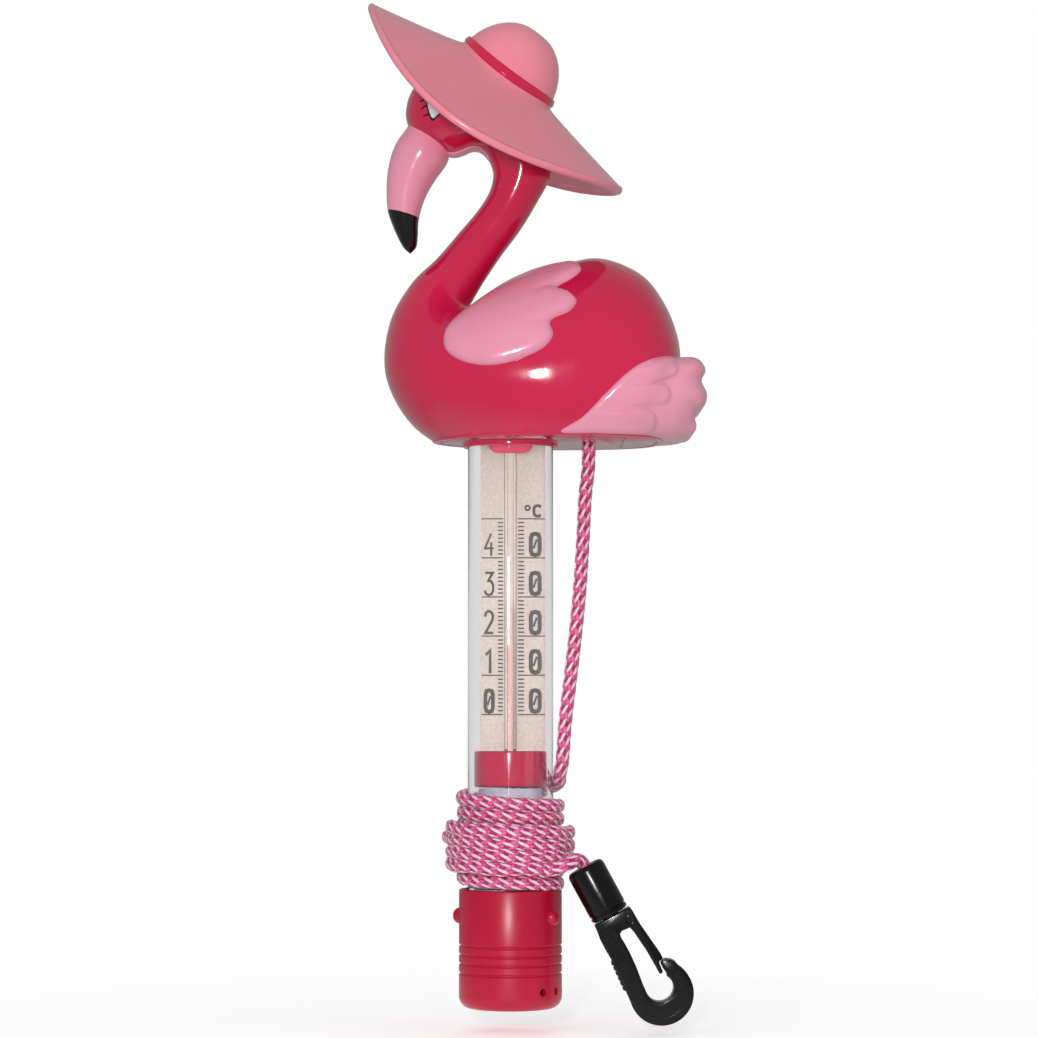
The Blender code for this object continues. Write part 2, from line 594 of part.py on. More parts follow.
def tube_parts():
    """The clear tube, the glass thermometer and its scale, and what seals and weighs them."""
    tube = turned("scale_tube", [(TUBE_RADIUS, TUBE_TOP), (TUBE_RADIUS, TUBE_BOTTOM), (BORE, TUBE_BOTTOM), (BORE, TUBE_TOP)],
                  "clear_plastic", 40)
    for angle in PIN_ANGLES:
        combine(tube, radial_bar(angle, PIN_Z, PIN_RADIUS + GAP, 5, 15))

    r, wall = BULB_RADIUS, 0.6
    turned("glass_stem", [
        (STEM_RADIUS, STEM_TOP), (STEM_RADIUS, BULB_TOP + 1.5), (r, BULB_TOP - 0.5), (r, STEM_BOTTOM + 1.8),
        (r * 0.6, STEM_BOTTOM + 0.3), (0, STEM_BOTTOM), (0, STEM_BOTTOM + 1.3), (r - wall, STEM_BOTTOM + 1.8),
        (r - wall, BULB_TOP - 1.0), (STEM_BORE, BULB_TOP + 0.4), (STEM_BORE, STEM_TOP)][::1],
        "glass", 20, (0, STEM_Y))
    turned("spirit_reservoir", [(0.75, BULB_TOP - 1.6), (1.7, BULB_TOP - 1.6), (1.7, STEM_BOTTOM + 2.2), (0.75, STEM_BOTTOM + 2.2)],
           "spirit", 16, (0, STEM_Y))
    thread_top = ZERO_MARK + READING * DEGREE
    thread = turned("spirit_thread", [
        (0, thread_top), (THREAD_RADIUS, thread_top - 0.2), (THREAD_RADIUS, THREAD_BOTTOM), (0, THREAD_BOTTOM)],
        "spirit", 10, (0, STEM_Y))
    set_origin(thread, Matrix.Translation(Vector((0, STEM_Y, thread_top)) * MM))

    card = box((-CARD_HALF_WIDTH, CARD_BACK_Y - CARD_THICK, HOLDER_TOP + GAP), (CARD_HALF_WIDTH, CARD_BACK_Y, 0.0), "card")
    card.name = "scale_card"

    plug = turned("scale_plug", [(0, TUBE_TOP - 3), (BORE - GAP, TUBE_TOP - 3), (BORE - GAP, GAP), (0, GAP)])
    tab = extruded("tab", [*arc((3.0, -1.4), 2.0, 0, -90, 5), *arc((-3.0, -1.4), 2.0, -90, -180, 5), (-5, 1.0), (5, 1.0)],
                   -3.5, CARD_BACK_Y - CARD_THICK - GAP, "hot_pink")
    combine(plug, tab, "UNION")
    combine(plug, disc_bar(STEM_RADIUS + GAP, (0, STEM_Y, -6), (0, STEM_Y, STEM_TOP + GAP)))

    holder = turned("bulb_holder", [(0, HOLDER_TOP), (BORE - GAP, HOLDER_TOP), (BORE - GAP, HOLDER_BOTTOM), (0, HOLDER_BOTTOM)])
    combine(holder, disc_bar(STEM_RADIUS + GAP, (0, STEM_Y, -90), (0, STEM_Y, -60)))

    top, bottom = HOLDER_BOTTOM - GAP, BUNG_TOP + GAP
    turned("spacer_sleeve", [(7.4, top), (7.4, bottom), (6.0, bottom), (6.0, top)], "rubber", 28)
    weight = turned("ballast_weight", [(0, top - 1.5), (5.6, top - 1.5), (5.6, bottom), (0, bottom)], "steel", 24)
    combine(weight, disc_bar(STEM_RADIUS + GAP, (0, STEM_Y, -110), (0, STEM_Y, -70)))
    bung = turned("bung", [(0, BUNG_TOP), (BORE - GAP, BUNG_TOP), (BORE - GAP, BUNG_BOTTOM), (0, BUNG_BOTTOM)], "rubber", 28)
    combine(bung, disc_bar(STEM_RADIUS + GAP, (0, STEM_Y, -115), (0, STEM_Y, -90)))


def radial_bar(angle, z, radius, start, end, sides=14):
    """A bar that points out from the tube's axis; the angle runs from the front towards +X."""
    out = Vector((math.sin(math.radians(angle)), -math.cos(math.radians(angle)), 0))
    return disc_bar(radius, out * start + Vector((0, 0, z)), out * end + Vector((0, 0, z)), sides)


def cup():
    """The perforated cup round the bulb, with the three pins that lock it to the tube."""
    r, inner = CUP_RADIUS, CUP_RADIUS - CUP_WALL
    outside = [(r - 0.3, CUP_TOP), (r, CUP_TOP - 0.3)]
    for z in CUP_GROOVES:
        outside += [(r, z + 0.35), (r - 0.25, z), (r, z - 0.35)]
    outside += [(r, CUP_BOTTOM + 2.8), *[(r - 2.8 + x, CUP_BOTTOM + 2.8 + z) for x, z in arc((0, 0), 2.8, -20, -90, 4)]]
    inside = [(0, CUP_BOTTOM + CUP_FLOOR), (inner - 2, CUP_BOTTOM + CUP_FLOOR), (inner, CUP_BOTTOM + CUP_FLOOR + 2), (inner, CUP_TOP)]
    made = turned("bulb_cup", [*outside, (0, CUP_BOTTOM), *inside], "cup_red", 40)
    for angle in HOLE_ANGLES:
        combine(made, radial_bar(angle, HOLE_Z, HOLE_RADIUS, 5, 15, 10))
    for number, angle in enumerate(PIN_ANGLES, 1):
        combine(made, radial_bar(angle, PIN_Z, PIN_RADIUS + GAP, 5, 15))
        pin = turned(f"cup_pin_{number}", [(0, 13.4), (0.9, 13.25), (1.5, 12.8), (PIN_RADIUS, 12.2), (PIN_RADIUS, BORE + 0.1), (0, BORE + 0.1)],
                     "cup_red", 14)
        out = Vector((math.sin(math.radians(angle)), -math.cos(math.radians(angle)), 0))
        turn = out.to_track_quat("Z", "Y").to_matrix().to_4x4()
        pin.data.transform(Matrix.Translation(Vector((0, 0, PIN_Z)) * MM) @ turn)


# ---------------------------------------------------------------- cord and hook

def cord_run(name, route, count):
    """A plain round cord along a smooth curve through the route."""
    curve = bpy.data.curves.new(name, "CURVE")
    curve.dimensions = "3D"
    curve.bevel_depth = CORD_RADIUS * MM
    curve.bevel_resolution = 2
    curve.use_fill_caps = True
    points = smooth_through(route, count)
    spline = curve.splines.new("POLY")
    spline.points.add(count - 1)
    for place, point in zip(spline.points, points):
        place.co = (*[v * MM for v in point], 1)
    made = bpy.data.objects.new(name, curve)
    curve.materials.append(material("cord"))
    bpy.context.scene.collection.objects.link(made)
    return made


def knot(name, centre, radius):
    """The lump of a tied overhand knot."""
    ball = turned(name, [(0, radius), *arc((0, 0), radius, 60, -60, 5), (0, -radius)], "cord", 14)
    ball.data.transform(Matrix.Translation(Vector(centre) * MM))
    return ball


def cord():
    """The cord from the float to its winding, the winding as one turned solid, and the tail."""
    cord_run("cord_lead", CORD_LEAD, 24)
    knot("cord_knot_float", (CORD_HOLE_X, 0, CORD_LEAD[0][2] + GAP + 3.4), 3.4)
    inner = TUBE_RADIUS + GAP
    turned("cord_winding", [(inner, COIL_TOP), (13.0, COIL_TOP), *COIL_BULGE, (13.0, COIL_BOTTOM), (inner, COIL_BOTTOM)], "cord", 32)


def hook_place():
    """From the hook's plane (b across to the gate, thickness, -a) to the row frame, in metres."""
    along = Vector((math.sin(HOOK_LEAN), 0, -math.cos(HOOK_LEAN)))
    across = Vector((math.cos(HOOK_LEAN), 0, math.sin(HOOK_LEAN)))
    place = Matrix((across, Vector((0, 1, 0)), -along)).transposed().to_4x4()
    place.translation = Vector(HOOK_ORIGIN) * MM
    return place


def hook_barrel(place):
    """The barrel that hides the cord's end knot and carries the hook's swivelling neck."""
    r, length = BARREL_RADIUS, BARREL_LENGTH
    barrel = turned("hook_barrel", [
        (CORD_RADIUS + GAP, length), (r - 1.0, length), (r - 0.3, length - 0.4), (r, length - 1.2), (r, 0.6),
        (r - 0.4, 0.1), (HOOK_NECK_RADIUS + GAP, 0.1), (HOOK_NECK_RADIUS + GAP, 1.8), (3.4, 1.8), (3.4, length - 1.8),
        (CORD_RADIUS + GAP, length - 1.8)], "black_plastic", 28)
    barrel.data.transform(place)
    end = knot("cord_knot_hook", (0, 0, length - 2.1 - KNOT_RADIUS), KNOT_RADIUS)
    end.data.transform(place)


def hook_body(place):
    """The hook: a neck with a swivel head, a flat shank, a round bowl and a nose for the gate."""
    bowl_a, bowl_b = BOWL
    shank = [(-4.5, -2.2), (-4.8, -9.0), (-5.2, -16.0)]
    outer = [(x, z) for x, z in arc((bowl_b, -bowl_a), BOWL_RADIUS, 165, 395, 22)]
    nose = [(7.6, -15.8), (6.6, -14.9), (5.8, -14.7), (5.1, -14.9), (4.85, -16.4), (5.0, -17.7)]
    bore = [(x, z) for x, z in arc((bowl_b + 0.2, -bowl_a + 1.2), BOWL_BORE, 30, -185, 14)]
    window = [(-0.9, -17.0), (-0.4, -13.0), (-0.2, -8.0), (-0.3, -5.0), (0.3, -4.3), (4.0, -4.6)]
    ears = [(5.0, -4.2), (5.0, -1.8), (4.2, -0.2)]
    outline = [(-4.4, -0.2), *shank, *outer, *nose, *bore, *window, *ears]
    half = HOOK_THICK / 2
    hook = extruded("hook_body", outline, -half, half, "black_plastic")
    head, neck, length = HOOK_HEAD_RADIUS, HOOK_NECK_RADIUS, 3.6
    post = turned("post", [(0, length), (head - 0.6, length), (head, length - 0.5), (head, 2.1), (neck, 2.1), (neck, -1.6), (0, -1.6)], sides=20)
    combine(hook, post, "UNION")
    pivot_a, pivot_b = GATE_PIVOT
    slot = GATE_THICK / 2 + GAP
    combine(hook, box((1.6, -slot, -6.0), (6.6, slot, -1.1)))
    combine(hook, disc_bar(GATE_PIVOT_RADIUS + GAP, (pivot_b, -half - 1, -pivot_a), (pivot_b, half + 1, -pivot_a)))
    hook.matrix_world = place


def hook_gate(place):
    """The sprung gate tongue, whose tip closes against the inside of the nose."""
    pivot_a, pivot_b = GATE_PIVOT
    root = arc((pivot_b, -pivot_a), 1.4, 180, 0, 9)
    outer = [(5.05, -5.0), (5.5, -9.0), (5.95, -13.0), (5.95, -14.1), (4.7, -14.6), (4.45, -GATE_TIP + 0.3)]
    inner = [(3.5, -GATE_TIP), (3.5, -15.0), (3.4, -11.0), (2.9, -6.0)]
    outline = [*root, *outer, (4.15, -GATE_TIP), *inner]
    half = GATE_THICK / 2
    gate = extruded("hook_gate", outline, -half, half, "black_plastic")
    pin = HOOK_THICK / 2 - 0.1
    combine(gate, disc_bar(GATE_PIVOT_RADIUS, (pivot_b, -pin, -pivot_a), (pivot_b, pin, -pivot_a)), "UNION")
    pivot = Matrix.Translation(Vector((pivot_b, 0, -pivot_a)) * MM)
    gate.data.transform(pivot.inverted())
    gate.matrix_world = place @ pivot


def main():
    clear_scene()
    skin = loft("skin", FLOAT_SLICES, FLOAT_RINGS, FLOAT_SIDES)
    tree = skin_tree(skin)
    bpy.data.objects.remove(skin)
    float_shells()
    float_base()
    wings(tree)
    tail(tree)
    beak()
    eyes()
    hat()
    tube_parts()
    cup()
    cord()
    place = hook_place()
    hook_barrel(place)
    ends = [place @ (Vector((0, 0, BARREL_LENGTH + z)) * MM) / MM for z in (1.4, -0.4, -1.8)]
    cord_run("cord_tail", [*CORD_TAIL, *ends], 9)
    hook_body(place)
    hook_gate(place)


main()
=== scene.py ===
"""The looks of the floating pool thermometer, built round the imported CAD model.

Sizes are in millimetres in the CAD's own frame: +Z up, the flamingo looks along -X, the scale faces
-Y, and the origin is on the tube's axis at the float's underside. MM turns them into metres."""

import math
from contextlib import contextmanager

import bmesh
import bpy
import numpy as np
from mathutils import Matrix, Vector
from mathutils.bvhtree import BVHTree
from mathutils.geometry import delaunay_2d_cdt


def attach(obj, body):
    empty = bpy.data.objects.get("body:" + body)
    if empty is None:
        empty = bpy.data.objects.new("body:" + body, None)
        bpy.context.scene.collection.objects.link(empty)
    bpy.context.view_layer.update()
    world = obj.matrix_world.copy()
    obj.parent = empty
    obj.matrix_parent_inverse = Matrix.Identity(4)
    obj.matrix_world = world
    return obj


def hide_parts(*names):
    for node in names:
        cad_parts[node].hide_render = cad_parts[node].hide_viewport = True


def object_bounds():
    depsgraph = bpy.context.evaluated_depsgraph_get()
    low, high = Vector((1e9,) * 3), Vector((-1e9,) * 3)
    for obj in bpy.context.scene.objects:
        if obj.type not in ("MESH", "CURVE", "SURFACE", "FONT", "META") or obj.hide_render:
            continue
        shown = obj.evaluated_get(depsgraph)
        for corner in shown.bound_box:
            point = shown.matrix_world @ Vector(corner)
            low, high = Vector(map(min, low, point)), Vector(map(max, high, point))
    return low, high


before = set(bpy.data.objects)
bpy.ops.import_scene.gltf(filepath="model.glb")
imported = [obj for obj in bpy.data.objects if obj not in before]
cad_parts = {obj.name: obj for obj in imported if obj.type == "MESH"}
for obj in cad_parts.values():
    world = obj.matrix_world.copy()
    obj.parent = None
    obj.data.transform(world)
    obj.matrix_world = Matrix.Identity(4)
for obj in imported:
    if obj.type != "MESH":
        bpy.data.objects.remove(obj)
cad_low, cad_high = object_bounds()
MM = 0.001


# ---------------------------------------------------------------- small tools

@contextmanager
def editing(mesh):
    """A bmesh of the mesh, which is written back with its faces turned outwards."""
    work = bmesh.new()
    work.from_mesh(mesh)
    yield work
    bmesh.ops.recalc_face_normals(work, faces=work.faces)
    work.to_mesh(mesh)
    work.free()


def shade(made, sharp):
    """Smooth shading, but for edges sharper than the given angle."""
    made.data.shade_smooth()
    made.data.set_sharp_from_angle(angle=math.radians(sharp))


def mesh_object(name, points, faces, paint, sharp=35, outwards=True):
    """An object from points in millimetres, smooth but for edges sharper than the given angle."""
    mesh = bpy.data.meshes.new(name)
    mesh.from_pydata((np.asarray(points, float) * MM).tolist(), [], [tuple(f) for f in faces])
    if outwards:
        with editing(mesh):
            pass
    made = bpy.data.objects.new(name + "_visual", mesh)
    shade(made, sharp)
    bpy.context.scene.collection.objects.link(made)
    if paint:
        made.data.materials.append(paint)
    return made


def finish_piece(made, body="float", replaces=()):
    """Says what the piece rides on, and hides the CAD nodes that it stands for."""
    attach(made, body)
    if replaces:
        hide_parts(*replaces)
    return made


def applied(made):
    """Bakes the modifiers of an object into its mesh."""
    bpy.context.view_layer.update()
    graph = bpy.context.evaluated_depsgraph_get()
    result = bpy.data.meshes.new_from_object(made.evaluated_get(graph))
    made.modifiers.clear()
    made.data = result
    return made


def combine(target, other, operation="DIFFERENCE"):
    """Cuts the other solid out of the target, or joins it on."""
    modifier = target.modifiers.new("combine", "BOOLEAN")
    modifier.operation = operation
    modifier.object = other
    modifier.solver = "EXACT"
    applied(target)
    bpy.data.objects.remove(other)
    return target


def bevelled(made, width, angle=35):
    """Rounds the edges that are sharper than the angle."""
    modifier = made.modifiers.new("edges", "BEVEL")
    modifier.width = width * MM
    modifier.segments = 3
    modifier.limit_method = "ANGLE"
    modifier.angle_limit = math.radians(angle)
    modifier.harden_normals = False
    applied(made)
    shade(made, 50)
    return made


def ring_faces(one, two):
    """Quads between two closed rings of vertices."""
    count = len(one)
    return [(one[i], one[(i + 1) % count], two[(i + 1) % count], two[i]) for i in range(count)]


def row_faces(i, k, sides):
    """Quads between rows i and k of a grid whose rows are closed."""
    return ring_faces(range(i * sides, (i + 1) * sides), range(k * sides, (k + 1) * sides))


def turned(name, profile, paint, sides=96, centre=(0.0, 0.0), sharp=35):
    """A solid of revolution about a vertical axis. The profile is a loop of (radius, z)."""
    points, rings = [], []
    for radius, z in profile:
        count = 1 if radius == 0 else sides
        rings.append(list(range(len(points), len(points) + count)))
        for i in range(count):
            angle = math.tau * i / sides
            x, y = radius * math.cos(angle), radius * math.sin(angle)
            points.append((centre[0] + x, centre[1] + y, z))
    closed = profile[0][0] > 0 or profile[-1][0] > 0
    faces = []
    for i in range(len(rings) if closed else len(rings) - 1):
        one, two = rings[i], rings[(i + 1) % len(rings)]
        for k in range(sides):
            following = k + 1
            quad = [one[k % len(one)], one[following % len(one)], two[following % len(two)], two[k % len(two)]]
            quad = list(dict.fromkeys(quad))
            if len(quad) > 2:
                faces.append(quad)
    return mesh_object(name, points, faces, paint, sharp)


def rounded(profile, radii, steps=5):
    """A profile with each corner rounded by its own radius. A radius of 0 leaves the corner."""
    made = []
    count = len(profile)
    for i, (corner, radius) in enumerate(zip(profile, radii)):
        corner = Vector(corner)
        if radius == 0:
            made.append(tuple(corner))
            continue
        before = Vector(profile[i - 1]) - corner
        after = Vector(profile[(i + 1) % count]) - corner
        reach = min(radius, before.length * 0.49, after.length * 0.49)
        start, end = corner + before.normalized() * reach, corner + after.normalized() * reach
        for k in range(steps + 1):
            t = k / steps
            made.append(tuple((1 - t) ** 2 * start + 2 * t * (1 - t) * corner + t**2 * end))
    return made


def extruded(name, outline, low_y, high_y, paint):
    """A plate with the given (x, z) outline."""
    count = len(outline)
    points = [(x, y, z) for y in (low_y, high_y) for x, z in outline]
    faces = [tuple(range(count)), tuple(range(2 * count - 1, count - 1, -1))]
    faces += [(i, (i + 1) % count, count + (i + 1) % count, count + i) for i in range(count)]
    return mesh_object(name, points, faces, paint)


def bar(radius, start, end, sides=32):
    """A round bar from start to end."""
    direction = Vector(end) - Vector(start)
    profile = [(0, 0), (radius, 0), (radius, direction.length), (0, direction.length)]
    made = turned("bar", profile, None, sides)
    turn = direction.to_track_quat("Z", "Y").to_matrix().to_4x4()
    made.data.transform(Matrix.Translation(Vector(start) * MM) @ turn)
    return made


def arc(centre, radius, start, end, count):
    """Points on a circle between two angles in degrees."""
    steps = [math.radians(start + (end - start) * i / (count - 1)) for i in range(count)]
    return [(centre[0] + radius * math.cos(t), centre[1] + radius * math.sin(t)) for t in steps]


def smooth_through(rows, count, closed=False):
    """count rows on a smooth curve through the given rows, evenly spaced by the root of the chord."""
    rows = np.asarray(rows, float)
    if closed:
        rows = np.vstack([rows[-1], rows, rows[0], rows[1]])
    else:
        rows = np.vstack([2 * rows[0] - rows[1], rows, 2 * rows[-1] - rows[-2]])
    steps = np.sqrt(np.maximum(1e-6, np.linalg.norm(np.diff(rows, axis=0), axis=1)))
    knots = np.concatenate([[0.0], np.cumsum(steps)])
    places = np.linspace(knots[1], knots[-2], count, endpoint=not closed)
    spans = np.clip(np.searchsorted(knots, places, side="right") - 1, 1, len(rows) - 3)
    p = [rows[spans + k] for k in (-1, 0, 1, 2)]
    t = [knots[spans + k][:, None] for k in (-1, 0, 1, 2)]
    here = places[:, None]

    def between(a, b, ta, tb):
        return (tb - here) / (tb - ta) * a + (here - ta) / (tb - ta) * b

    a = [between(p[k], p[k + 1], t[k], t[k + 1]) for k in range(3)]
    b = [between(a[k], a[k + 1], t[k], t[k + 2]) for k in range(2)]
    return between(b[0], b[1], t[1], t[2])


def even_path(rows, step):
    """The curve through the rows, resampled at an even spacing."""
    dense = smooth_through(rows, 60 * len(rows))
    run = np.concatenate([[0.0], np.cumsum(np.linalg.norm(np.diff(dense, axis=0), axis=1))])
    places = np.linspace(0, run[-1], max(2, round(run[-1] / step)))
    return np.column_stack([np.interp(places, run, dense[:, k]) for k in range(3)]), run[-1]


def smoothstep(value, low, high):
    t = np.clip((value - low) / (high - low), 0, 1)
    return t * t * (3 - 2 * t)


# ---------------------------------------------------------------- materials

class Nodes:
    """A new material and short calls for its nodes."""

    def __init__(self, name):
        self.material = bpy.data.materials.new(name)
        self.material.use_nodes = True
        self.tree = self.material.node_tree
        self.shader = self.tree.nodes["Principled BSDF"]
        self.output = self.tree.nodes["Material Output"]
        self.place = self.tree.nodes.new("ShaderNodeTexCoord")

    def link(self, value, socket):
        if isinstance(value, bpy.types.NodeSocket):
            self.tree.links.new(value, socket)
        else:
            socket.default_value = value

    def math(self, operation, *values):
        node = self.tree.nodes.new("ShaderNodeMath")
        node.operation = operation
        for value, socket in zip(values, node.inputs):
            self.link(value, socket)
        return node.outputs[0]

    def add(self, one, two):
        return self.math("ADD", one, two)

    def minus(self, one, two):
        return self.math("SUBTRACT", one, two)

    def times(self, one, two):
        return self.math("MULTIPLY", one, two)

    def noise(self, per_mm, detail=3.0, stretch=(1, 1, 1), roughness=0.5):
        scale = self.tree.nodes.new("ShaderNodeMapping")
        scale.inputs["Scale"].default_value = [1000 * per_mm * s for s in stretch]
        self.tree.links.new(self.place.outputs["Object"], scale.inputs["Vector"])
        node = self.tree.nodes.new("ShaderNodeTexNoise")
        node.inputs["Scale"].default_value = 1.0
        node.inputs["Detail"].default_value = detail
        node.inputs["Roughness"].default_value = roughness
        self.tree.links.new(scale.outputs[0], node.inputs["Vector"])
        return node.outputs["Fac"]

    def spread(self, value, low, high, to_low=0.0, to_high=1.0):
        node = self.tree.nodes.new("ShaderNodeMapRange")
        for number, socket in zip((low, high, to_low, to_high), list(node.inputs)[1:5]):
            socket.default_value = number
        self.link(value, node.inputs[0])
        return node.outputs[0]

    def mix(self, share, one, two):
        node = self.tree.nodes.new("ShaderNodeMix")
        node.data_type = "RGBA"
        self.link(share, node.inputs[0])
        for value, socket in ((one, node.inputs[6]), (two, node.inputs[7])):
            self.link((*value, 1.0) if isinstance(value, tuple) else value, socket)
        return node.outputs[2]

    def bump(self, height, distance_mm, strength=1.0):
        node = self.tree.nodes.new("ShaderNodeBump")
        node.inputs["Strength"].default_value = strength
        node.inputs["Distance"].default_value = distance_mm * MM
        self.link(height, node.inputs["Height"])
        self.tree.links.new(node.outputs[0], self.shader.inputs["Normal"])

    def set(self, **values):
        for name, value in values.items():
            self.link(value, self.shader.inputs[name.replace("_", " ")])

    def surface(self, share, one, two):
        """Makes the surface a mix of two shaders."""
        self.tree.links.new(mixed_shader(self.tree, share, one, two), self.output.inputs["Surface"])


def mixed_shader(tree, share, one, two):
    node = tree.nodes.new("ShaderNodeMixShader")
    for value, socket in zip((share, one, two), node.inputs):
        tree.links.new(value, socket)
    return node.outputs[0]


def linear(*rgb):
    """Linear colour from sRGB numbers of 0 to 255."""
    return tuple(((c / 255 + 0.055) / 1.055) ** 2.4 if c > 10 else c / 255 / 12.92 for c in rgb)


def moulded(name, light, dark, roughness, peel=0.012, coat=0.0, scuffs=0.06, specular=0.5):
    """Moulded plastic: slight colour drift, faint smudges in the gloss, and a fine surface ripple."""
    m = Nodes(name)
    drift = m.spread(m.noise(0.035, 2.0), 0.3, 0.7)
    m.set(Base_Color=m.mix(drift, linear(*dark), linear(*light)))
    smudge = m.spread(m.noise(0.22, 5.0, roughness=0.65), 0.45, 0.75, roughness, roughness + scuffs)
    m.set(Roughness=smudge, Coat_Weight=coat, Coat_Roughness=0.04, Specular_IOR_Level=specular)
    m.bump(m.noise(0.55, 2.0), peel)
    return m.material


def clear(name, tint, ior):
    """Clear plastic or glass that lamps shine through."""
    m = Nodes(name)
    m.set(Base_Color=(*tint, 1.0), Transmission_Weight=1.0, Roughness=0.0, IOR=ior)
    m.bump(m.noise(0.09, 2.0, (1, 1, 0.25)), 0.02)
    path = m.tree.nodes.new("ShaderNodeLightPath")
    see = m.tree.nodes.new("ShaderNodeBsdfTransparent")
    see.inputs["Color"].default_value = (0.93, 0.92, 0.95, 1.0)
    m.surface(path.outputs["Is Shadow Ray"], m.shader.outputs[0], see.outputs[0])
    return m.material


def grained(name, dark, light, noise, ends=(0.0, 1.0), bump=0.0, **values):
    """Two tones mixed by a fine grain, which also roughens the surface. ends is the grain's range."""
    m = Nodes(name)
    grain = m.noise(*noise)
    m.set(Base_Color=m.mix(m.spread(grain, *ends), linear(*dark), linear(*light)), **values)
    if bump:
        m.bump(grain, bump)
    return m.material


BRAID_COLUMNS = 6
BRAID_PITCH = 3.3  # along the cord
BRAID_STEP = BRAID_PITCH / BRAID_COLUMNS  # how much later each column's stitches come
COLUMN_WIDTH = math.tau * 1.6 / BRAID_COLUMNS
WHITE_STITCH = (1.35, 0.38, math.radians(27))  # half length, half width, slant
PINK_STITCH = (1.45, 0.62, math.radians(-32))


def braid_material():
    """Cord braided from white yarn one way and pink the other, with painted shade in the gaps between the stitches.
    UV is (turn round it, metres along it).
    """
    m = Nodes("braided_cord")
    split = m.tree.nodes.new("ShaderNodeSeparateXYZ")
    m.tree.links.new(m.place.outputs["UV"], split.inputs[0])
    turn, along = split.outputs[0], m.times(split.outputs[1], 1000.0)

    def squared(value, half):
        return m.math("POWER", m.math("ABSOLUTE", m.math("DIVIDE", value, half)), 2.0)

    def stitch(shape, column_shift, length_shift):
        """How far out of its stitch a place is (1 at the edge), and where it is across the stitch."""
        half_length, half_width, slant = shape
        columns = m.add(m.times(turn, float(BRAID_COLUMNS)), column_shift)
        column = m.math("FLOOR", columns)
        across = m.times(m.minus(m.minus(columns, column), 0.5), COLUMN_WIDTH)
        place = m.add(m.times(column, BRAID_STEP), m.add(along, length_shift))
        rows = m.math("FRACT", m.math("DIVIDE", place, BRAID_PITCH))
        here = m.times(m.minus(rows, 0.5), BRAID_PITCH)
        length = m.add(m.times(here, math.cos(slant)), m.times(across, math.sin(slant)))
        width = m.minus(m.times(across, math.cos(slant)), m.times(here, math.sin(slant)))
        return m.add(squared(length, half_length), squared(width, half_width)), width

    white, _ = stitch(WHITE_STITCH, 0.0, 0.0)
    pink, pink_width = stitch(PINK_STITCH, 0.5, BRAID_PITCH / 2)
    fuzz = m.noise(2.6, 3.0)
    yarn = m.add(m.times(m.math("SINE", m.times(pink_width, 26.0)), 0.14), fuzz)
    # Painted shade: a darker pink between the stitches, where the gaps of the braid fall in shadow.
    painted_gap_shade = m.mix(m.spread(fuzz, 0.35, 0.65), linear(150, 18, 78), linear(196, 44, 116))
    strand = m.mix(m.spread(yarn, 0.3, 0.8), linear(205, 40, 116), linear(246, 138, 184))
    body = m.mix(m.spread(pink, 1.05, 0.55), painted_gap_shade, strand)
    thread = m.mix(m.spread(fuzz, 0.3, 0.7), linear(232, 180, 200), linear(250, 236, 240))
    m.set(Base_Color=m.mix(m.spread(white, 1.15, 0.8), body, thread), Roughness=0.38, Sheen_Weight=0.3,
          Sheen_Roughness=0.4)
    m.bump(yarn, 0.05, 0.8)
    return m.material


PINK = moulded("hot_pink_plastic", (214, 25, 78), (203, 17, 69), 0.1, coat=0.5)
LIGHT = moulded("light_pink_plastic", (243, 160, 186), (237, 149, 176), 0.17, coat=0.4)
HAT = moulded("hat_pink_plastic", (249, 147, 165), (243, 136, 154), 0.2, coat=0.35)
CUP = moulded("cup_red_plastic", (187, 10, 53), (175, 8, 47), 0.3, peel=0.02, specular=0.4)
BLACK = moulded("black_plastic", (11, 11, 12), (7, 7, 8), 0.17, peel=0.03, specular=0.3)
TIP = moulded("beak_black_plastic", (12, 11, 11), (7, 7, 7), 0.12, coat=0.3, specular=0.35)
# Painted shade: the holder is the hot pink plastic, made darker to offset the stronger light that reaches it through
# the tube.
HOLDER_SHADED_PINK = moulded("holder_pink_painted_shade", (156, 8, 50), (148, 6, 45), 0.16, specular=0.25)
WHITE = moulded("eye_white_paint", (242, 244, 247), (232, 235, 240), 0.15)
INK_BLACK = moulded("eye_black_paint", (18, 16, 17), (10, 9, 10), 0.2)
TUBE = clear("clear_acrylic", (0.985, 0.975, 0.99), 1.46)
GLASS = clear("thermometer_glass", (0.99, 0.98, 0.97), 1.18)
CARD = grained("printed_card", (180, 168, 153), (197, 186, 172), (1.4, 4.0), (0.35, 0.7), 0.01, Roughness=0.62)
INK = grained("scale_ink", (16, 14, 14), (44, 38, 36), (0.8, 4.0), (0.35, 0.75), Roughness=0.5)
GREY_RUBBER = grained("grey_rubber", (158, 153, 166), (176, 172, 182), (1.8, 4.0), (0.3, 0.7), 0.02, Roughness=0.6)
STEEL = grained("turned_steel", (150, 150, 155), (190, 190, 196), (3.0, 2.0, (0.05, 0.05, 1.0)), bump=0.01,
                Metallic=1.0, Roughness=0.32)
SPIRIT = grained("red_spirit", (226, 150, 142), (236, 172, 160), (0.3,), Roughness=0.12)
KNOT = grained("cord_knot_yarn", (214, 60, 124), (250, 215, 225), (1.2, 3.0, (1, 1, 2.5)), (0.4, 0.6), 0.15,
               Roughness=0.6)
BRAID = braid_material()


# ---------------------------------------------------------------- camera, stage and light

CAMERA_AT = (2.0, -731.0, -60.0)
LOOKS_AT = (2.0, 0.0, -17.9)
FRAME_WIDTH = 243.9  # what the picture takes in at the object
SENSOR = 36.0
FLOOR_FADE = (14.0, 190.0)  # from solid to gone
FLOOR_GAP = 2.3  # below the hook as it hangs, so that it can also turn
WORLD_LIGHT, WORLD_THROUGH = 0.34, 0.74  # how bright the studio is on surfaces, and seen through the tube


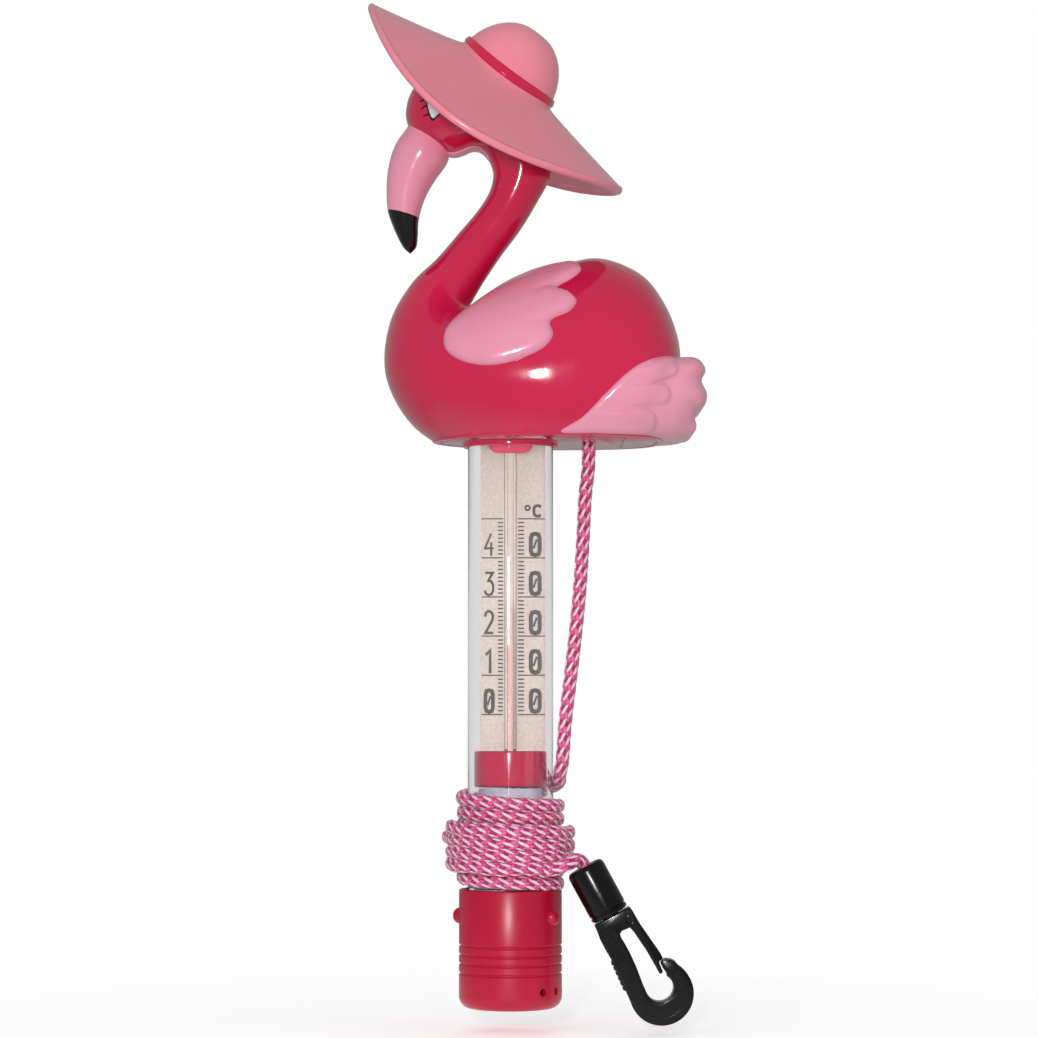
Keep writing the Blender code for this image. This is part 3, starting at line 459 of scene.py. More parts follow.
def camera():
    data = bpy.data.cameras.new("camera")
    data.sensor_width = SENSOR
    reach = Vector(LOOKS_AT) - Vector(CAMERA_AT)
    data.lens = SENSOR * reach.length / FRAME_WIDTH
    data.clip_start, data.clip_end = 0.01, 20.0
    made = bpy.data.objects.new("camera", data)
    made.location = Vector(CAMERA_AT) * MM
    made.rotation_euler = reach.to_track_quat("-Z", "Y").to_euler()
    bpy.context.scene.collection.objects.link(made)
    bpy.context.scene.camera = made


def stage():
    """A plain pale floor that fades into the white of the studio."""
    m = Nodes("studio_floor")
    m.set(Base_Color=m.mix(m.noise(0.004), (0.88, 0.88, 0.89), (0.93, 0.93, 0.93)), Roughness=0.8)
    m.set(Emission_Color=(1.0, 1.0, 1.0, 1.0), Emission_Strength=0.42)
    spread = m.tree.nodes.new("ShaderNodeVectorMath")
    spread.operation = "LENGTH"
    m.tree.links.new(m.place.outputs["Object"], spread.inputs[0])
    fade = m.spread(spread.outputs["Value"], *(end * MM for end in FLOOR_FADE))
    open_floor = m.tree.nodes.new("ShaderNodeBsdfTransparent")
    m.surface(fade, m.shader.outputs[0], open_floor.outputs[0])
    points = [(x, y, 0) for x, y in arc((0, 0), FLOOR_FADE[1] + 5, 0, 356.25, 96)]
    floor = mesh_object("studio_floor", points, [tuple(range(len(points)))], m.material, outwards=False)
    floor.location.z = cad_low.z - FLOOR_GAP * MM


def lamp(name, at, aim, size, watts, mirrored=False):
    """A rectangular lamp, which shows in glossy surfaces only when it is mirrored."""
    data = bpy.data.lights.new(name, "AREA")
    data.shape = "RECTANGLE"
    data.size, data.size_y = size[0] * MM, size[1] * MM
    data.energy = watts
    made = bpy.data.objects.new(name, data)
    made.visible_glossy = mirrored
    made.location = Vector(at) * MM
    made.rotation_euler = (Vector(aim) - Vector(at)).to_track_quat("-Z", "Y").to_euler()
    bpy.context.scene.collection.objects.link(made)


def lights():
    """A white studio with a large soft light from the front, a small flash by the camera and faint fills."""
    world = bpy.data.worlds.new("studio")
    world.use_nodes = True
    tree = world.node_tree
    path = tree.nodes.new("ShaderNodeLightPath").outputs

    def white(strength):
        node = tree.nodes.new("ShaderNodeBackground")
        node.inputs["Color"].default_value = (1.0, 1.0, 1.0, 1.0)
        node.inputs["Strength"].default_value = strength
        return node.outputs[0]

    lighting = mixed_shader(tree, path["Is Transmission Ray"], white(WORLD_LIGHT), white(WORLD_THROUGH))
    sky = mixed_shader(tree, path["Is Camera Ray"], lighting, white(1.0))
    tree.links.new(sky, tree.nodes["World Output"].inputs["Surface"])
    bpy.context.scene.world = world
    lamp("flash", (-60, -760, 20), (0, 0, 0), (18, 90), 2.8, mirrored=True)
    lamp("key", (-700, -1500, 1500), (0, 0, 0), (1800, 1400), 7.0)
    lamp("fill", (1400, -900, 500), (0, 0, 0), (900, 900), 2.0)
    lamp("back", (300, 1500, 1300), (0, 0, 0), (1200, 900), 5.0)
    bpy.context.scene.view_settings.view_transform = "Standard"


# ---------------------------------------------------------------- cord

CORD_RADIUS = 1.6
CORD_EXIT = (18.4, 0.0, 0.0)
CORD_LEAD = [
    (18.4, 0.0, 4.0), (18.4, 0.0, -1.0), (18.3, 0.0, -6.0), (17.6, -0.2, -12.0), (17.0, -0.7, -23.0),
    (16.1, -1.6, -36.0), (14.5, -2.8, -51.0), (12.7, -3.9, -66.0), (12.0, -4.1, -75.0),
]
CORD_JOINS = [  # (angle round the tube, height) where the lead runs into the first turn
    (-9, -77.8), (12, -79.7), (42, -81.0), (75, -81.7), (110, -82.2), (150, -82.7), (190, -83.2), (230, -83.7),
]
INNER_RADIUS, OUTER_RADIUS = 11.35, 13.9
INNER_ROW, INNER_FRONT, INNER_END = 3.0, -84.3, -103.3  # pitch, the first row's height in front, the last one's
OUTER_TOP, OUTER_BOTTOM, OUTER_TURNS = -89.9, -99.3, 3
PRESSED = 0.8  # how much thinner the wound cord is across its turns
CORD_TAIL = [(12.9, -10.8, -98.2), (15.2, -8.9, -97.2), (16.5, -7.8, -97.8)]
HOOK_ORIGIN = (23.1, -7.6, -109.9)
HOOK_LEAN = math.radians(28.5)
BARREL_LENGTH, BARREL_RADIUS = 12.7, 4.5


def round_tube(angle, radius, z):
    """A point at an angle in degrees from +X towards +Y."""
    turn = math.radians(angle)
    return (radius * math.cos(turn), radius * math.sin(turn), z)


def cord_route():
    """Down the tube's side, seven turns against the tube, then over them and off to the hook."""
    route = list(CORD_LEAD)
    route += [round_tube(angle, INNER_RADIUS + 0.2, z) for angle, z in CORD_JOINS]
    first, step = 270, 15
    last = first + 360 * (INNER_FRONT - INNER_END) / INNER_ROW
    for i in range(int((last - first) / step)):
        wobble = 0.1 * math.sin(2.3 * i)
        z = INNER_FRONT - INNER_ROW * i * step / 360
        route.append(round_tube(first + i * step, INNER_RADIUS + wobble, z + wobble))
    climb_start, climb_end = last + 12, last + 150
    for i in range(9):
        share = i / 8
        radius = INNER_RADIUS + (OUTER_RADIUS - INNER_RADIUS) * min(1, share * 3)
        route.append(round_tube(climb_start + (climb_end - climb_start) * share, radius,
                                INNER_END + (OUTER_TOP - INNER_END) * share))
    outer_end = 360 * (round(climb_end / 360) + OUTER_TURNS) - 52
    count = int((outer_end - climb_end) / step)
    for i in range(1, count + 1):
        share = i / count
        angle = climb_end + (outer_end - climb_end) * share
        z = OUTER_TOP + (OUTER_BOTTOM - OUTER_TOP) * share + 0.22 * math.sin(1.7 * i)
        crossing = climb_start + (climb_end - climb_start) * (z - INNER_END) / (OUTER_TOP - INNER_END)
        away = (angle - crossing + 180) % 360 - 180
        lift = 2.5 * math.exp(-((away / 15) ** 2)) * min(1, share * 5)
        route.append(round_tube(angle, OUTER_RADIUS + lift + 0.1 * math.sin(2.9 * i), z))
    return route + CORD_TAIL + [hook_point(0, 0, BARREL_LENGTH + 0.2), hook_point(0, 0, BARREL_LENGTH - 2.0)]


def hook_point(across, out, up):
    place = hook_place()
    return tuple((place @ (Vector((across, out, up)) * MM)) / MM)


def hook_place():
    """From the hook's plane (across to the gate, thickness, up to the barrel) to the frame."""
    along = Vector((math.sin(HOOK_LEAN), 0, -math.cos(HOOK_LEAN)))
    across = Vector((math.cos(HOOK_LEAN), 0, math.sin(HOOK_LEAN)))
    place = Matrix((across, Vector((0, 1, 0)), -along)).transposed().to_4x4()
    place.translation = Vector(HOOK_ORIGIN) * MM
    return place


def frames_along(path):
    """Two unit vectors across the path at each point, carried along it without twist."""
    tangent = np.gradient(path, axis=0)
    tangent /= np.linalg.norm(tangent, axis=1)[:, None]
    side = np.zeros_like(path)
    side[0] = np.cross(tangent[0], (0.3, 1.0, 0.2))
    side[0] /= np.linalg.norm(side[0])
    for i in range(1, len(path)):
        side[i] = side[i - 1] - tangent[i] * (side[i - 1] @ tangent[i])
        side[i] /= np.linalg.norm(side[i])
    return side, np.cross(tangent, side)


def braided_tube(name, path, radius, paint):
    """A cord as one closed tube whose stitches stand out, with UVs for the braid's colours."""
    around = 36
    side, other = frames_along(path)
    run = np.concatenate([[0.0], np.cumsum(np.linalg.norm(np.diff(path, axis=0), axis=1))])
    turn = np.arange(around) / around

    def bumps(shape, column_shift, length_shift):
        half_length, half_width, slant = shape
        columns = turn * BRAID_COLUMNS + column_shift
        column = np.floor(columns)
        across = ((columns - column - 0.5) * COLUMN_WIDTH)[None, :]
        here = (((run[:, None] + length_shift + column * BRAID_STEP) / BRAID_PITCH) % 1 - 0.5) * BRAID_PITCH
        length = here * math.cos(slant) + across * math.sin(slant)
        width = across * math.cos(slant) - here * math.sin(slant)
        return np.sqrt(np.clip(1.35 - (length / half_length) ** 2 - (width / half_width) ** 2, 0, 1))

    stitch = np.maximum(bumps(WHITE_STITCH, 0.0, 0.0), 0.92 * bumps(PINK_STITCH, 0.5, BRAID_PITCH / 2))
    reach = radius - 0.3 + 0.34 * stitch
    angles = turn * math.tau
    offsets = reach[:, :, None] * (
        np.cos(angles)[None, :, None] * side[:, None, :] + np.sin(angles)[None, :, None] * other[:, None, :])
    outward = path * np.array([1.0, 1.0, 0.0])
    outward /= np.linalg.norm(outward, axis=1)[:, None]
    wound = smoothstep(run, 84, 100) * (1 - smoothstep(run, run[-1] - 22, run[-1] - 12))
    inward = np.sum(offsets * outward[:, None, :], axis=2) * ((1 - PRESSED) * wound)[:, None]
    rings = path[:, None, :] + offsets - inward[:, :, None] * outward[:, None, :]
    count = len(path)
    points = rings.reshape(-1, 3)
    faces = [face for i in range(count - 1) for face in row_faces(i, i + 1, around)]
    faces += [tuple(range(around - 1, -1, -1)), tuple(range((count - 1) * around, count * around))]
    made = mesh_object(name, points, faces, paint, sharp=80, outwards=False)
    layer = made.data.uv_layers.new(name="braid")
    sides = np.zeros((count - 1, around, 4, 2))
    sides[:, :, (0, 3), 0] = turn[:, None]
    sides[:, :, (1, 2), 0] = turn[:, None] + 1 / around
    sides[:, :, :2, 1] = run[:-1, None, None] * MM
    sides[:, :, 2:, 1] = run[1:, None, None] * MM
    uv = np.zeros((len(made.data.loops), 2))
    uv[: sides.size // 2] = sides.reshape(-1, 2)
    layer.data.foreach_set("uv", uv.ravel())
    return made


def cord():
    path, length = even_path(cord_route(), 0.36)
    made = braided_tube("cord", path, CORD_RADIUS, BRAID)
    finish_piece(made, replaces=["cord_lead", "cord_winding", "cord_tail"])
    print("cord length mm", round(length, 1))
    return made, path, length


# ---------------------------------------------------------------- float

FLOAT_SLICES = [  # (back x, back z, belly x, belly z, half width), from the rump to the face
    (40.1, 16.7, 40.1, 16.7, 0.0),
    (39.2, 25.1, 38.7, 7.5, 13.0),
    (36.1, 32.9, 35.4, -1.0, 20.0),
    (30.9, 39.5, 29.7, -7.0, 24.0),
    (21.0, 43.5, 20.6, -11.0, 26.0),
    (11.6, 41.8, 10.7, -11.5, 26.5),
    (3.6, 38.8, -0.6, -9.0, 26.0),
    (-3.2, 35.2, -12.6, -2.8, 24.5),
    (-7.2, 32.7, -23.4, 4.5, 21.5),
    (-9.0, 31.6, -29.4, 16.0, 17.0),
    (-9.8, 32.0, -28.4, 28.4, 12.5),
    (-9.0, 33.6, -23.4, 37.6, 9.0),
    (-6.2, 38.3, -17.3, 43.7, 7.0),
    (-2.0, 44.6, -12.1, 49.8, 6.0),
    (2.2, 50.3, -7.6, 55.2, 5.9),
    (6.2, 56.9, -4.9, 59.7, 6.1),
    (9.3, 63.0, -4.1, 63.7, 6.6),
    (10.0, 69.8, -5.1, 67.0, 7.2),
    (8.1, 77.8, -6.2, 68.6, 8.0),
    (3.6, 84.8, -7.6, 69.4, 9.3),
    (-2.5, 88.8, -9.3, 69.4, 10.4),
    (-11.2, 90.0, -11.2, 68.6, 11.0),
    (-18.9, 88.4, -13.7, 68.1, 10.8),
    (-23.4, 83.4, -17.0, 69.1, 9.2),
    (-24.8, 78.3, -20.3, 71.2, 6.0),
    (-23.9, 74.0, -23.9, 74.0, 0.0),
]
BEAK_SLICES = [
    (-21.5, 79.5, -12.5, 75.0, 4.6),
    (-24.6, 74.6, -13.9, 70.0, 6.3),
    (-27.1, 71.0, -15.1, 66.2, 6.8),
    (-28.6, 66.7, -17.5, 62.8, 6.2),
    (-29.3, 61.3, -19.8, 58.9, 5.2),
    (-29.0, 55.0, -21.4, 54.3, 4.1),
    (-28.0, 51.9, -21.8, 51.7, 3.5),
    (-26.8, 49.1, -21.9, 48.9, 2.8),
    (-25.3, 46.3, -22.3, 46.3, 1.7),
    (-23.7, 44.8, -23.7, 44.8, 0.0),
]
TIP_SPLIT = ((-29.0, 55.2), (-21.6, 53.2))


def slice_frame(row):
    """The middle of a slice, half of its belly to back line, and half of its width."""
    back_x, back_z, belly_x, belly_z, width = row
    middle = np.array([(back_x + belly_x) / 2, 0, (back_z + belly_z) / 2])
    return middle, np.array([(back_x - belly_x) / 2, 0, (back_z - belly_z) / 2]), width


def slice_grid(slices, rings, angles_for):
    """Points (ring, side) of a skin through slices."""
    grid = []
    for row in smooth_through(slices, rings):
        middle, half, width = slice_frame(row)
        if np.linalg.norm(half) < 0.25 or width < 0.25:
            continue
        angles = angles_for(width)[:, None]
        grid.append(middle + np.cos(angles) * half + np.sin(angles) * np.array([0, width, 0]))
    return np.array(grid)


def skin(name, grid, poles, paint, sharp):
    """A closed skin over a grid of closed rows, with a point that closes each end."""
    rows, sides = grid.shape[:2]
    first = rows * sides
    end = first - sides
    faces = [face for i in range(rows - 1) for face in row_faces(i, i + 1, sides)]
    faces += [(k, (k + 1) % sides, first) for k in range(sides)]
    faces += [(end + k, end + (k + 1) % sides, first + 1) for k in range(sides)]
    return mesh_object(name, np.vstack([grid.reshape(-1, 3), poles]), faces, paint, sharp)


def slice_poles(slices):
    return [(row[0], 0, row[1]) for row in (slices[0], slices[-1])]


FLOAT_RINGS = 190
SEAM_WIDTHS = (0.0, 0.16, 0.32, 0.55)
SEAM_DEPTHS = (0.13, 0.0975, 0.026, 0.0)
UNDERSIDE_CUT = 0.6  # the height where the rounded bottom edge starts


def seam_angles(width):
    """Even angles round a slice, with close ones at the back and belly for the glue line."""
    near = [min(math.asin(min(0.9, w / width)), 0.02 * k) for k, w in enumerate(SEAM_WIDTHS)]
    half = near + list(np.linspace(0.09, math.pi - 0.09, 42)) + [math.pi - a for a in reversed(near)]
    return np.array(half + [math.tau - a for a in reversed(half[1:-1])])


def float_skin():
    """The outer skin of both shells, with the fine glue line where they meet, cut at the underside."""
    grid = slice_grid(FLOAT_SLICES, FLOAT_RINGS, seam_angles)
    sides = grid.shape[1]
    along = np.gradient(grid, axis=0)
    around = np.roll(grid, -1, axis=1) - np.roll(grid, 1, axis=1)
    normal = np.cross(along, around)
    normal /= np.linalg.norm(normal, axis=2)[:, :, None]
    centre = grid.mean(axis=1, keepdims=True)
    flip = np.sign(np.sum(normal * (grid - centre), axis=2, keepdims=True))
    normal *= flip
    depth = np.zeros(sides)
    middle = sides // 2
    for k, d in enumerate(SEAM_DEPTHS):
        depth[k] = depth[-k] = depth[middle - k] = depth[(middle + k) % sides] = d
    grid = grid - normal * depth[None, :, None]
    whole = skin("float_body", grid, slice_poles(FLOAT_SLICES), PINK, sharp=60)
    corners = [v.co for v in whole.data.vertices]
    tree = BVHTree.FromPolygons(corners, [tuple(p.vertices) for p in whole.data.polygons])
    with editing(whole.data) as work:
        cut_off(work, (0, 0, UNDERSIDE_CUT * MM), (0, 0, 1))
        loop = ordered_loop([e for e in work.edges if e.is_boundary])
        outline = np.array([v.co[:2] for v in loop]) * 1000
        close_underside(work, loop, outline)
    shade(whole, 60)
    finish_piece(whole, replaces=["float_shell_left", "float_shell_right"])
    return tree, outline


def cut_off(work, place, normal):
    """Removes what lies behind a plane."""
    everything = work.verts[:] + work.edges[:] + work.faces[:]
    bmesh.ops.bisect_plane(work, geom=everything, plane_co=place, plane_no=normal, clear_inner=True)


def ordered_loop(edges):
    """The vertices of one closed boundary, in order."""
    links = {}
    for edge in edges:
        for v in edge.verts:
            links.setdefault(v, []).append(edge.other_vert(v))
    start = next(iter(links))
    loop, before, here = [start], None, start
    while True:
        following = next(v for v in links[here] if v is not before)
        if following is start:
            return loop
        loop.append(following)
        before, here = here, following


def inset(outline, distance):
    """The outline moved inwards, with its corners kept smooth."""
    outline = np.asarray(outline, float)
    tangent = np.roll(outline, -1, axis=0) - np.roll(outline, 1, axis=0)
    for _ in range(3):
        tangent = (np.roll(tangent, 1, axis=0) + 2 * tangent + np.roll(tangent, -1, axis=0)) / 4
    tangent /= np.linalg.norm(tangent, axis=1)[:, None] + 1e-12
    normal = np.column_stack([-tangent[:, 1], tangent[:, 0]])
    turning = np.sum(outline[:, 0] * np.roll(outline[:, 1], -1) - np.roll(outline[:, 0], -1) * outline[:, 1])
    return outline + normal * distance * np.sign(turning)


def close_underside(work, loop, outline):
    """A rounded bottom edge, the shell's rim and the recess for the base plate."""
    steps = [(0.12, 0.22), (0.35, 0.05), (0.6, 0.0), (1.7, 0.0), (1.8, 0.1), (1.8, 1.2)]
    before = loop
    for distance, z in steps:
        ring = [work.verts.new((x * MM, y * MM, z * MM)) for x, y in inset(outline, distance)]
        for face in ring_faces(before, ring):
            work.faces.new(face)
        before = ring
    work.faces.new(before)


def float_base(outline):
    """The glued base plate with the tube's collar, and the cord's hole."""
    edge = [(2.1, 1.4), (2.1, 0.35), (2.25, 0.1), (2.5, 0.0)]  # (inset, height)
    points = [(x, y, z) for distance, z in edge for x, y in inset(outline, distance)]
    count, last = len(outline), len(edge) - 1
    faces = [face for i in range(last) for face in row_faces(i, i + 1, count)]
    faces += [tuple(range(count)), tuple(range(last * count, len(points)))]
    plate = mesh_object("float_base_plate", points, faces, PINK, sharp=50)
    collar = turned("collar", rounded(
        [(10.2, 1.0), (11.9, 1.0), (11.9, 0.0), (11.2, -0.25), (11.2, -1.2), (10.2, -1.2)],
        [0, 0, 0, 0.3, 0.35, 0.25]), PINK, 128)
    combine(plate, bar(10.2, (0, 0, -3), (0, 0, 3), 128))
    combine(plate, bar(CORD_RADIUS + 0.35, (CORD_EXIT[0], 0, -3), (CORD_EXIT[0], 0, 3)))
    shade(plate, 40)
    finish_piece(plate, replaces=["float_base"])
    finish_piece(collar)
    collar.name = "tube_collar_visual"


def flat_mesh(rim, inner):
    """Triangles that fill the rim and use the inner points: (points, cells, boundary edges)."""
    border = [(i, (i + 1) % len(rim)) for i in range(len(rim))]
    places = [Vector(p) for p in (*rim, *inner)]
    flat, _, cells, _, _, _ = delaunay_2d_cdt(places, border, [], 1, 1e-7)
    uses = {}
    for cell in cells:
        for a, b in zip(cell, [*cell[1:], cell[0]]):
            uses.setdefault(frozenset((a, b)), []).append((a, b))
    return np.array([tuple(p) for p in flat]), cells, [u[0] for u in uses.values() if len(u) == 1]


def two_layers(name, low, high, cells, border, paint, sharp=60):
    """A closed piece between two layers of the same flat mesh."""
    count = len(low)
    faces = [tuple(c) for c in cells] + [tuple(count + i for i in reversed(c)) for c in cells]
    faces += [(b, a, count + a, count + b) for a, b in border]
    return mesh_object(name, np.vstack([low, high]), faces, paint, sharp)


def rim_distance(points, rim):
    """Distance of each point from the nearest point of the rim."""
    return np.min(np.linalg.norm(np.asarray(points)[:, None] - np.asarray(rim)[None], axis=2), axis=1)


def fill_points(rim, step):
    """Points in a triangular pattern over the rim's box, clear of the rim itself."""
    low, high = rim.min(axis=0), rim.max(axis=0)
    made = []
    for k in range(int((high[1] - low[1]) / step) + 2):
        for i in range(int((high[0] - low[0]) / step) + 2):
            made.append(np.array([low[0] + (i + 0.5 * (k % 2)) * step, low[1] + k * step * 0.87]))
    away = rim_distance(made, rim)
    return [p for p, d in zip(made, away) if d > 0.55 * step]


def line_distance(points, line):
    """Distance of each point from a polyline, and how far along it the nearest place is (0 to 1)."""
    line = np.asarray(line, float)
    best = np.full(len(points), 1e9)
    where = np.zeros(len(points))
    total = max(1, len(line) - 1)
    for i, (a, b) in enumerate(zip(line, line[1:])):
        t = np.clip(((points - a) @ (b - a)) / ((b - a) @ (b - a)), 0, 1)
        d = np.linalg.norm(points - a - t[:, None] * (b - a), axis=1)
        closer = d < best
        best[closer] = d[closer]
        where[closer] = (i + t[closer]) / total
    return best, where


WING_OUTLINE = [
    (-8.1, 31.0), (-1.3, 36.0), (6.9, 39.8), (12.4, 41.4), (15.6, 41.0), (16.4, 39.2), (14.7, 37.2),
    (10.7, 34.3), (13.6, 33.0), (15.2, 31.0), (13.9, 28.6), (9.2, 25.9), (9.8, 22.8), (8.0, 20.0),
    (2.5, 17.2), (-4.2, 15.7), (-10.9, 16.8), (-14.7, 19.6), (-15.3, 22.9), (-13.2, 26.8),
]
WING_CREASES = [[(11.2, 34.5), (8.4, 33.9), (5.4, 32.4)], [(9.6, 26.0), (6.6, 25.7), (3.9, 25.0)]]
WING_TILT = math.radians(35)


def wings(tree):
    outline = smooth_through(WING_OUTLINE, 230, closed=True)
    for name, side in (("wing_left", -1), ("wing_right", 1)):
        normal = Vector((0, side * math.cos(WING_TILT), math.sin(WING_TILT)))
        up = Vector((0, -side * math.sin(WING_TILT), math.cos(WING_TILT)))

        def laid(line):
            made = []
            for x, z in line:
                hit = tree.ray_cast(Vector((x, side * 60, z)) * MM, Vector((0, -side, 0)))[0] / MM
                made.append((hit.x, hit.dot(up)))
            return np.array(made)

        rim = laid(outline)
        flat, cells, border = flat_mesh(rim, fill_points(rim, 0.75))
        share = np.clip(rim_distance(flat, rim) / 3.0, 0, 1)
        height = 0.25 + 1.35 * np.sqrt(1 - (1 - share) ** 2)
        for crease in WING_CREASES:
            away, where = line_distance(flat, laid(crease))
            height -= 0.75 * (1 - where) ** 0.7 * np.exp(-((away / 0.75) ** 2)) * share
        layers = []
        for lift in (np.full(len(flat), -0.6), height):
            points = []
            for p, h in zip(flat, lift):
                origin = Vector((p[0], 0, 0)) + up * p[1] + normal * 80
                hit, out, _, _ = tree.ray_cast(origin * MM, -normal)
                out = out if out.dot(normal) > 0 else -out
                points.append(tuple(hit / MM + out * h))
            layers.append(np.array(points))
        made = two_layers(name, layers[0], layers[1], cells, border, LIGHT)
        finish_piece(made, replaces=[name])


TAIL_OUTLINE = [
    (11.6, 0.8), (16.4, 4.0), (21.8, 9.4), (26.1, 13.6), (29.8, 16.3), (34.2, 18.0), (38.7, 18.7),
    (43.4, 18.5), (45.2, 16.0), (44.3, 13.4), (45.5, 10.5), (45.0, 7.8), (43.0, 6.0), (43.0, 2.2),
    (40.8, 0.6), (30.0, 0.4), (20.0, 0.5),
]
TAIL_WIDTHS = [(11.9, 15.0), (22.0, 20.5), (33.0, 22.0), (46.5, 18.5)]
TAIL_FOOT = [(11.9, 15.0), (22.6, 19.5), (28.0, 17.5), (33.0, 14.0), (38.3, 9.0), (43.3, 2.5)]
TAIL_FOOT_HEIGHT = 9.5
TAIL_ROUND = 6.0
TAIL_FEATHERS = [  # (start, rounded end, radius) of the raised lobes
    ((28.5, 12.4), (36.4, 15.5), 1.9),
    ((24.5, 8.7), (34.4, 9.5), 2.15),
    ((17.5, 2.4), (30.8, 3.2), 2.5),
]


def lobe_rim(start, end, radius):
    """Points just inside and outside the edge of a lobe, so that its step comes out crisp."""
    start, end = np.array(start), np.array(end)
    along = (end - start) / np.linalg.norm(end - start)
    across = np.array([-along[1], along[0]])
    made = []
    for r in (radius - 0.17, radius + 0.02, radius + 0.2):
        for t in np.linspace(-math.pi / 2, math.pi / 2, 19):
            made.append(end + r * (math.cos(t) * along + math.sin(t) * across))
        for back in np.arange(0.4, 0.75 * np.linalg.norm(end - start), 0.45):
            made += [end - back * along + side * r * across for side in (-1, 1)]
    return made


def tail(tree):
    outline = smooth_through(TAIL_OUTLINE, 260, closed=True)
    rims = np.array([p for feather in TAIL_FEATHERS for p in lobe_rim(*feather)])
    rims = rims[rim_distance(rims, outline) > 0.4]
    inner = np.array(fill_points(outline, 0.75))
    inner = inner[rim_distance(inner, rims) > 0.35]
    flat, cells, border = flat_mesh(outline, [*inner, *rims])
    free = np.array([p for p in outline if p[0] > 34 and p[1] > 4])
    foot = np.interp(flat[:, 0], *zip(*TAIL_FOOT))
    rise = np.clip((flat[:, 1] - 0.6) / TAIL_FOOT_HEIGHT, 0, 1)
    block = foot + (np.interp(flat[:, 0], *zip(*TAIL_WIDTHS)) - foot) * np.sqrt(1 - (1 - rise) ** 2)
    depth = np.minimum(TAIL_ROUND, rim_distance(flat, free))
    block = block - (TAIL_ROUND - np.sqrt(np.maximum(0, TAIL_ROUND**2 - (TAIL_ROUND - depth) ** 2)))
    share = np.clip(rim_distance(flat, outline) / 1.3, 0, 1)
    lift = 0.15 + 1.05 * np.sqrt(1 - (1 - share) ** 2)
    skin = np.zeros(len(flat))
    for i, (x, z) in enumerate(flat):
        hit = tree.ray_cast(Vector((x, -60, z)) * MM, Vector((0, 1, 0)))[0]
        skin[i] = -hit.y * 1000 if hit is not None else -1
    on_skin = np.where(skin > 0, skin + lift, -5)
    width = 0.5 * (block + on_skin + np.sqrt((block - on_skin) ** 2 + 1.2)) - 0.25
    width = np.maximum(width, np.where(skin > 0, skin + 0.1, 0.3))
    for start, end, radius in TAIL_FEATHERS:
        away, where = line_distance(flat, [start, end])
        dome = np.sqrt(np.clip(1 - (away / (radius + 0.25)) ** 2, 0, 1))
        step = 0.45 * smoothstep(radius - away, -0.2, 0.15)
        width += (step + 0.55 * dome) * smoothstep(where, 0.0, 0.75)
    left, right = (np.column_stack([flat[:, 0], y, flat[:, 1]]) for y in (-width, width))
    made = two_layers("tail", left, right, cells, border, LIGHT, sharp=70)
    finish_piece(made, replaces=["tail"])


def beak():
    (front_x, front_z), (throat_x, throat_z) = TIP_SPLIT
    along = Vector((throat_x - front_x, 0, throat_z - front_z)).normalized()
    up = Vector((-along.z, 0, along.x))
    angles = np.linspace(0, math.tau, 64, endpoint=False)
    for name, paint, kept, slot in (("beak", LIGHT, up, "light_pink"), ("beak_tip", TIP, -up, "black_plastic")):
        grid = slice_grid(BEAK_SLICES, 120, lambda width: angles)
        made = skin(name, grid, slice_poles(BEAK_SLICES), paint, sharp=50)
        with editing(made.data) as work:
            cut_off(work, Vector((front_x, 0, front_z)) * MM, kept)
            bmesh.ops.contextual_create(work, geom=[e for e in work.edges if e.is_boundary])
        shade(made, 50)
        finish_piece(made, replaces=[name])


def chin():
    """The beak's root, which reaches back under the head to the neck."""
    rows = smooth_through(FLOAT_SLICES, FLOAT_RINGS)
    keep = [r for r in rows if -19.5 < r[2] < -5.0 and 66.5 < r[3] < 70.0 and r[1] > 66]
    high, low = [], []
    for n, row in enumerate(keep):
        share = n / (len(keep) - 1)
        spread = 0.2 + 0.12 * math.sin(share * math.pi)
        ring_high, ring_low = [], []
        middle, half, width = slice_frame(row)
        for angle in np.linspace(math.pi - spread, math.pi + spread, 25):
            edge = abs(angle - math.pi) / spread
            rise = 0.35 * math.sqrt(max(0, 1 - edge**6)) * math.sqrt(max(0, 1 - (2 * share - 1) ** 8))
            direction = np.cos(angle) * half / np.linalg.norm(half) + np.sin(angle) * np.array([0, 1.0, 0])
            direction /= np.linalg.norm(direction)
            point = middle + np.cos(angle) * half + np.sin(angle) * np.array([0, width, 0])
            ring_high.append(point + direction * rise)
            ring_low.append(point - direction * 0.6)
        high.append(ring_high)
        low.append(ring_low)
    high, low = np.array(high), np.array(low)
    rings, sides = high.shape[:2]
    corners = [i * sides + k for i in range(rings - 1) for k in range(sides - 1)]
    cells = [(a, a + 1, a + sides + 1, a + sides) for a in corners]
    edge = [*range(sides), *(i * sides + sides - 1 for i in range(1, rings))]
    edge += [(rings - 1) * sides + k for k in range(sides - 2, -1, -1)]
    edge += [i * sides for i in range(rings - 2, 0, -1)]
    border = list(zip(edge, [*edge[1:], edge[0]]))
    made = two_layers("beak_root", high.reshape(-1, 3), low.reshape(-1, 3), cells, border, LIGHT, sharp=70)
    finish_piece(made)


def on_head(tree, side, x, z, lift):
    hit, out, _, _ = tree.ray_cast(Vector((x, side * 60, z)) * MM, Vector((0, -side, 0)))
    out = out if out.y * side > 0 else -out
    return hit / MM + out * lift


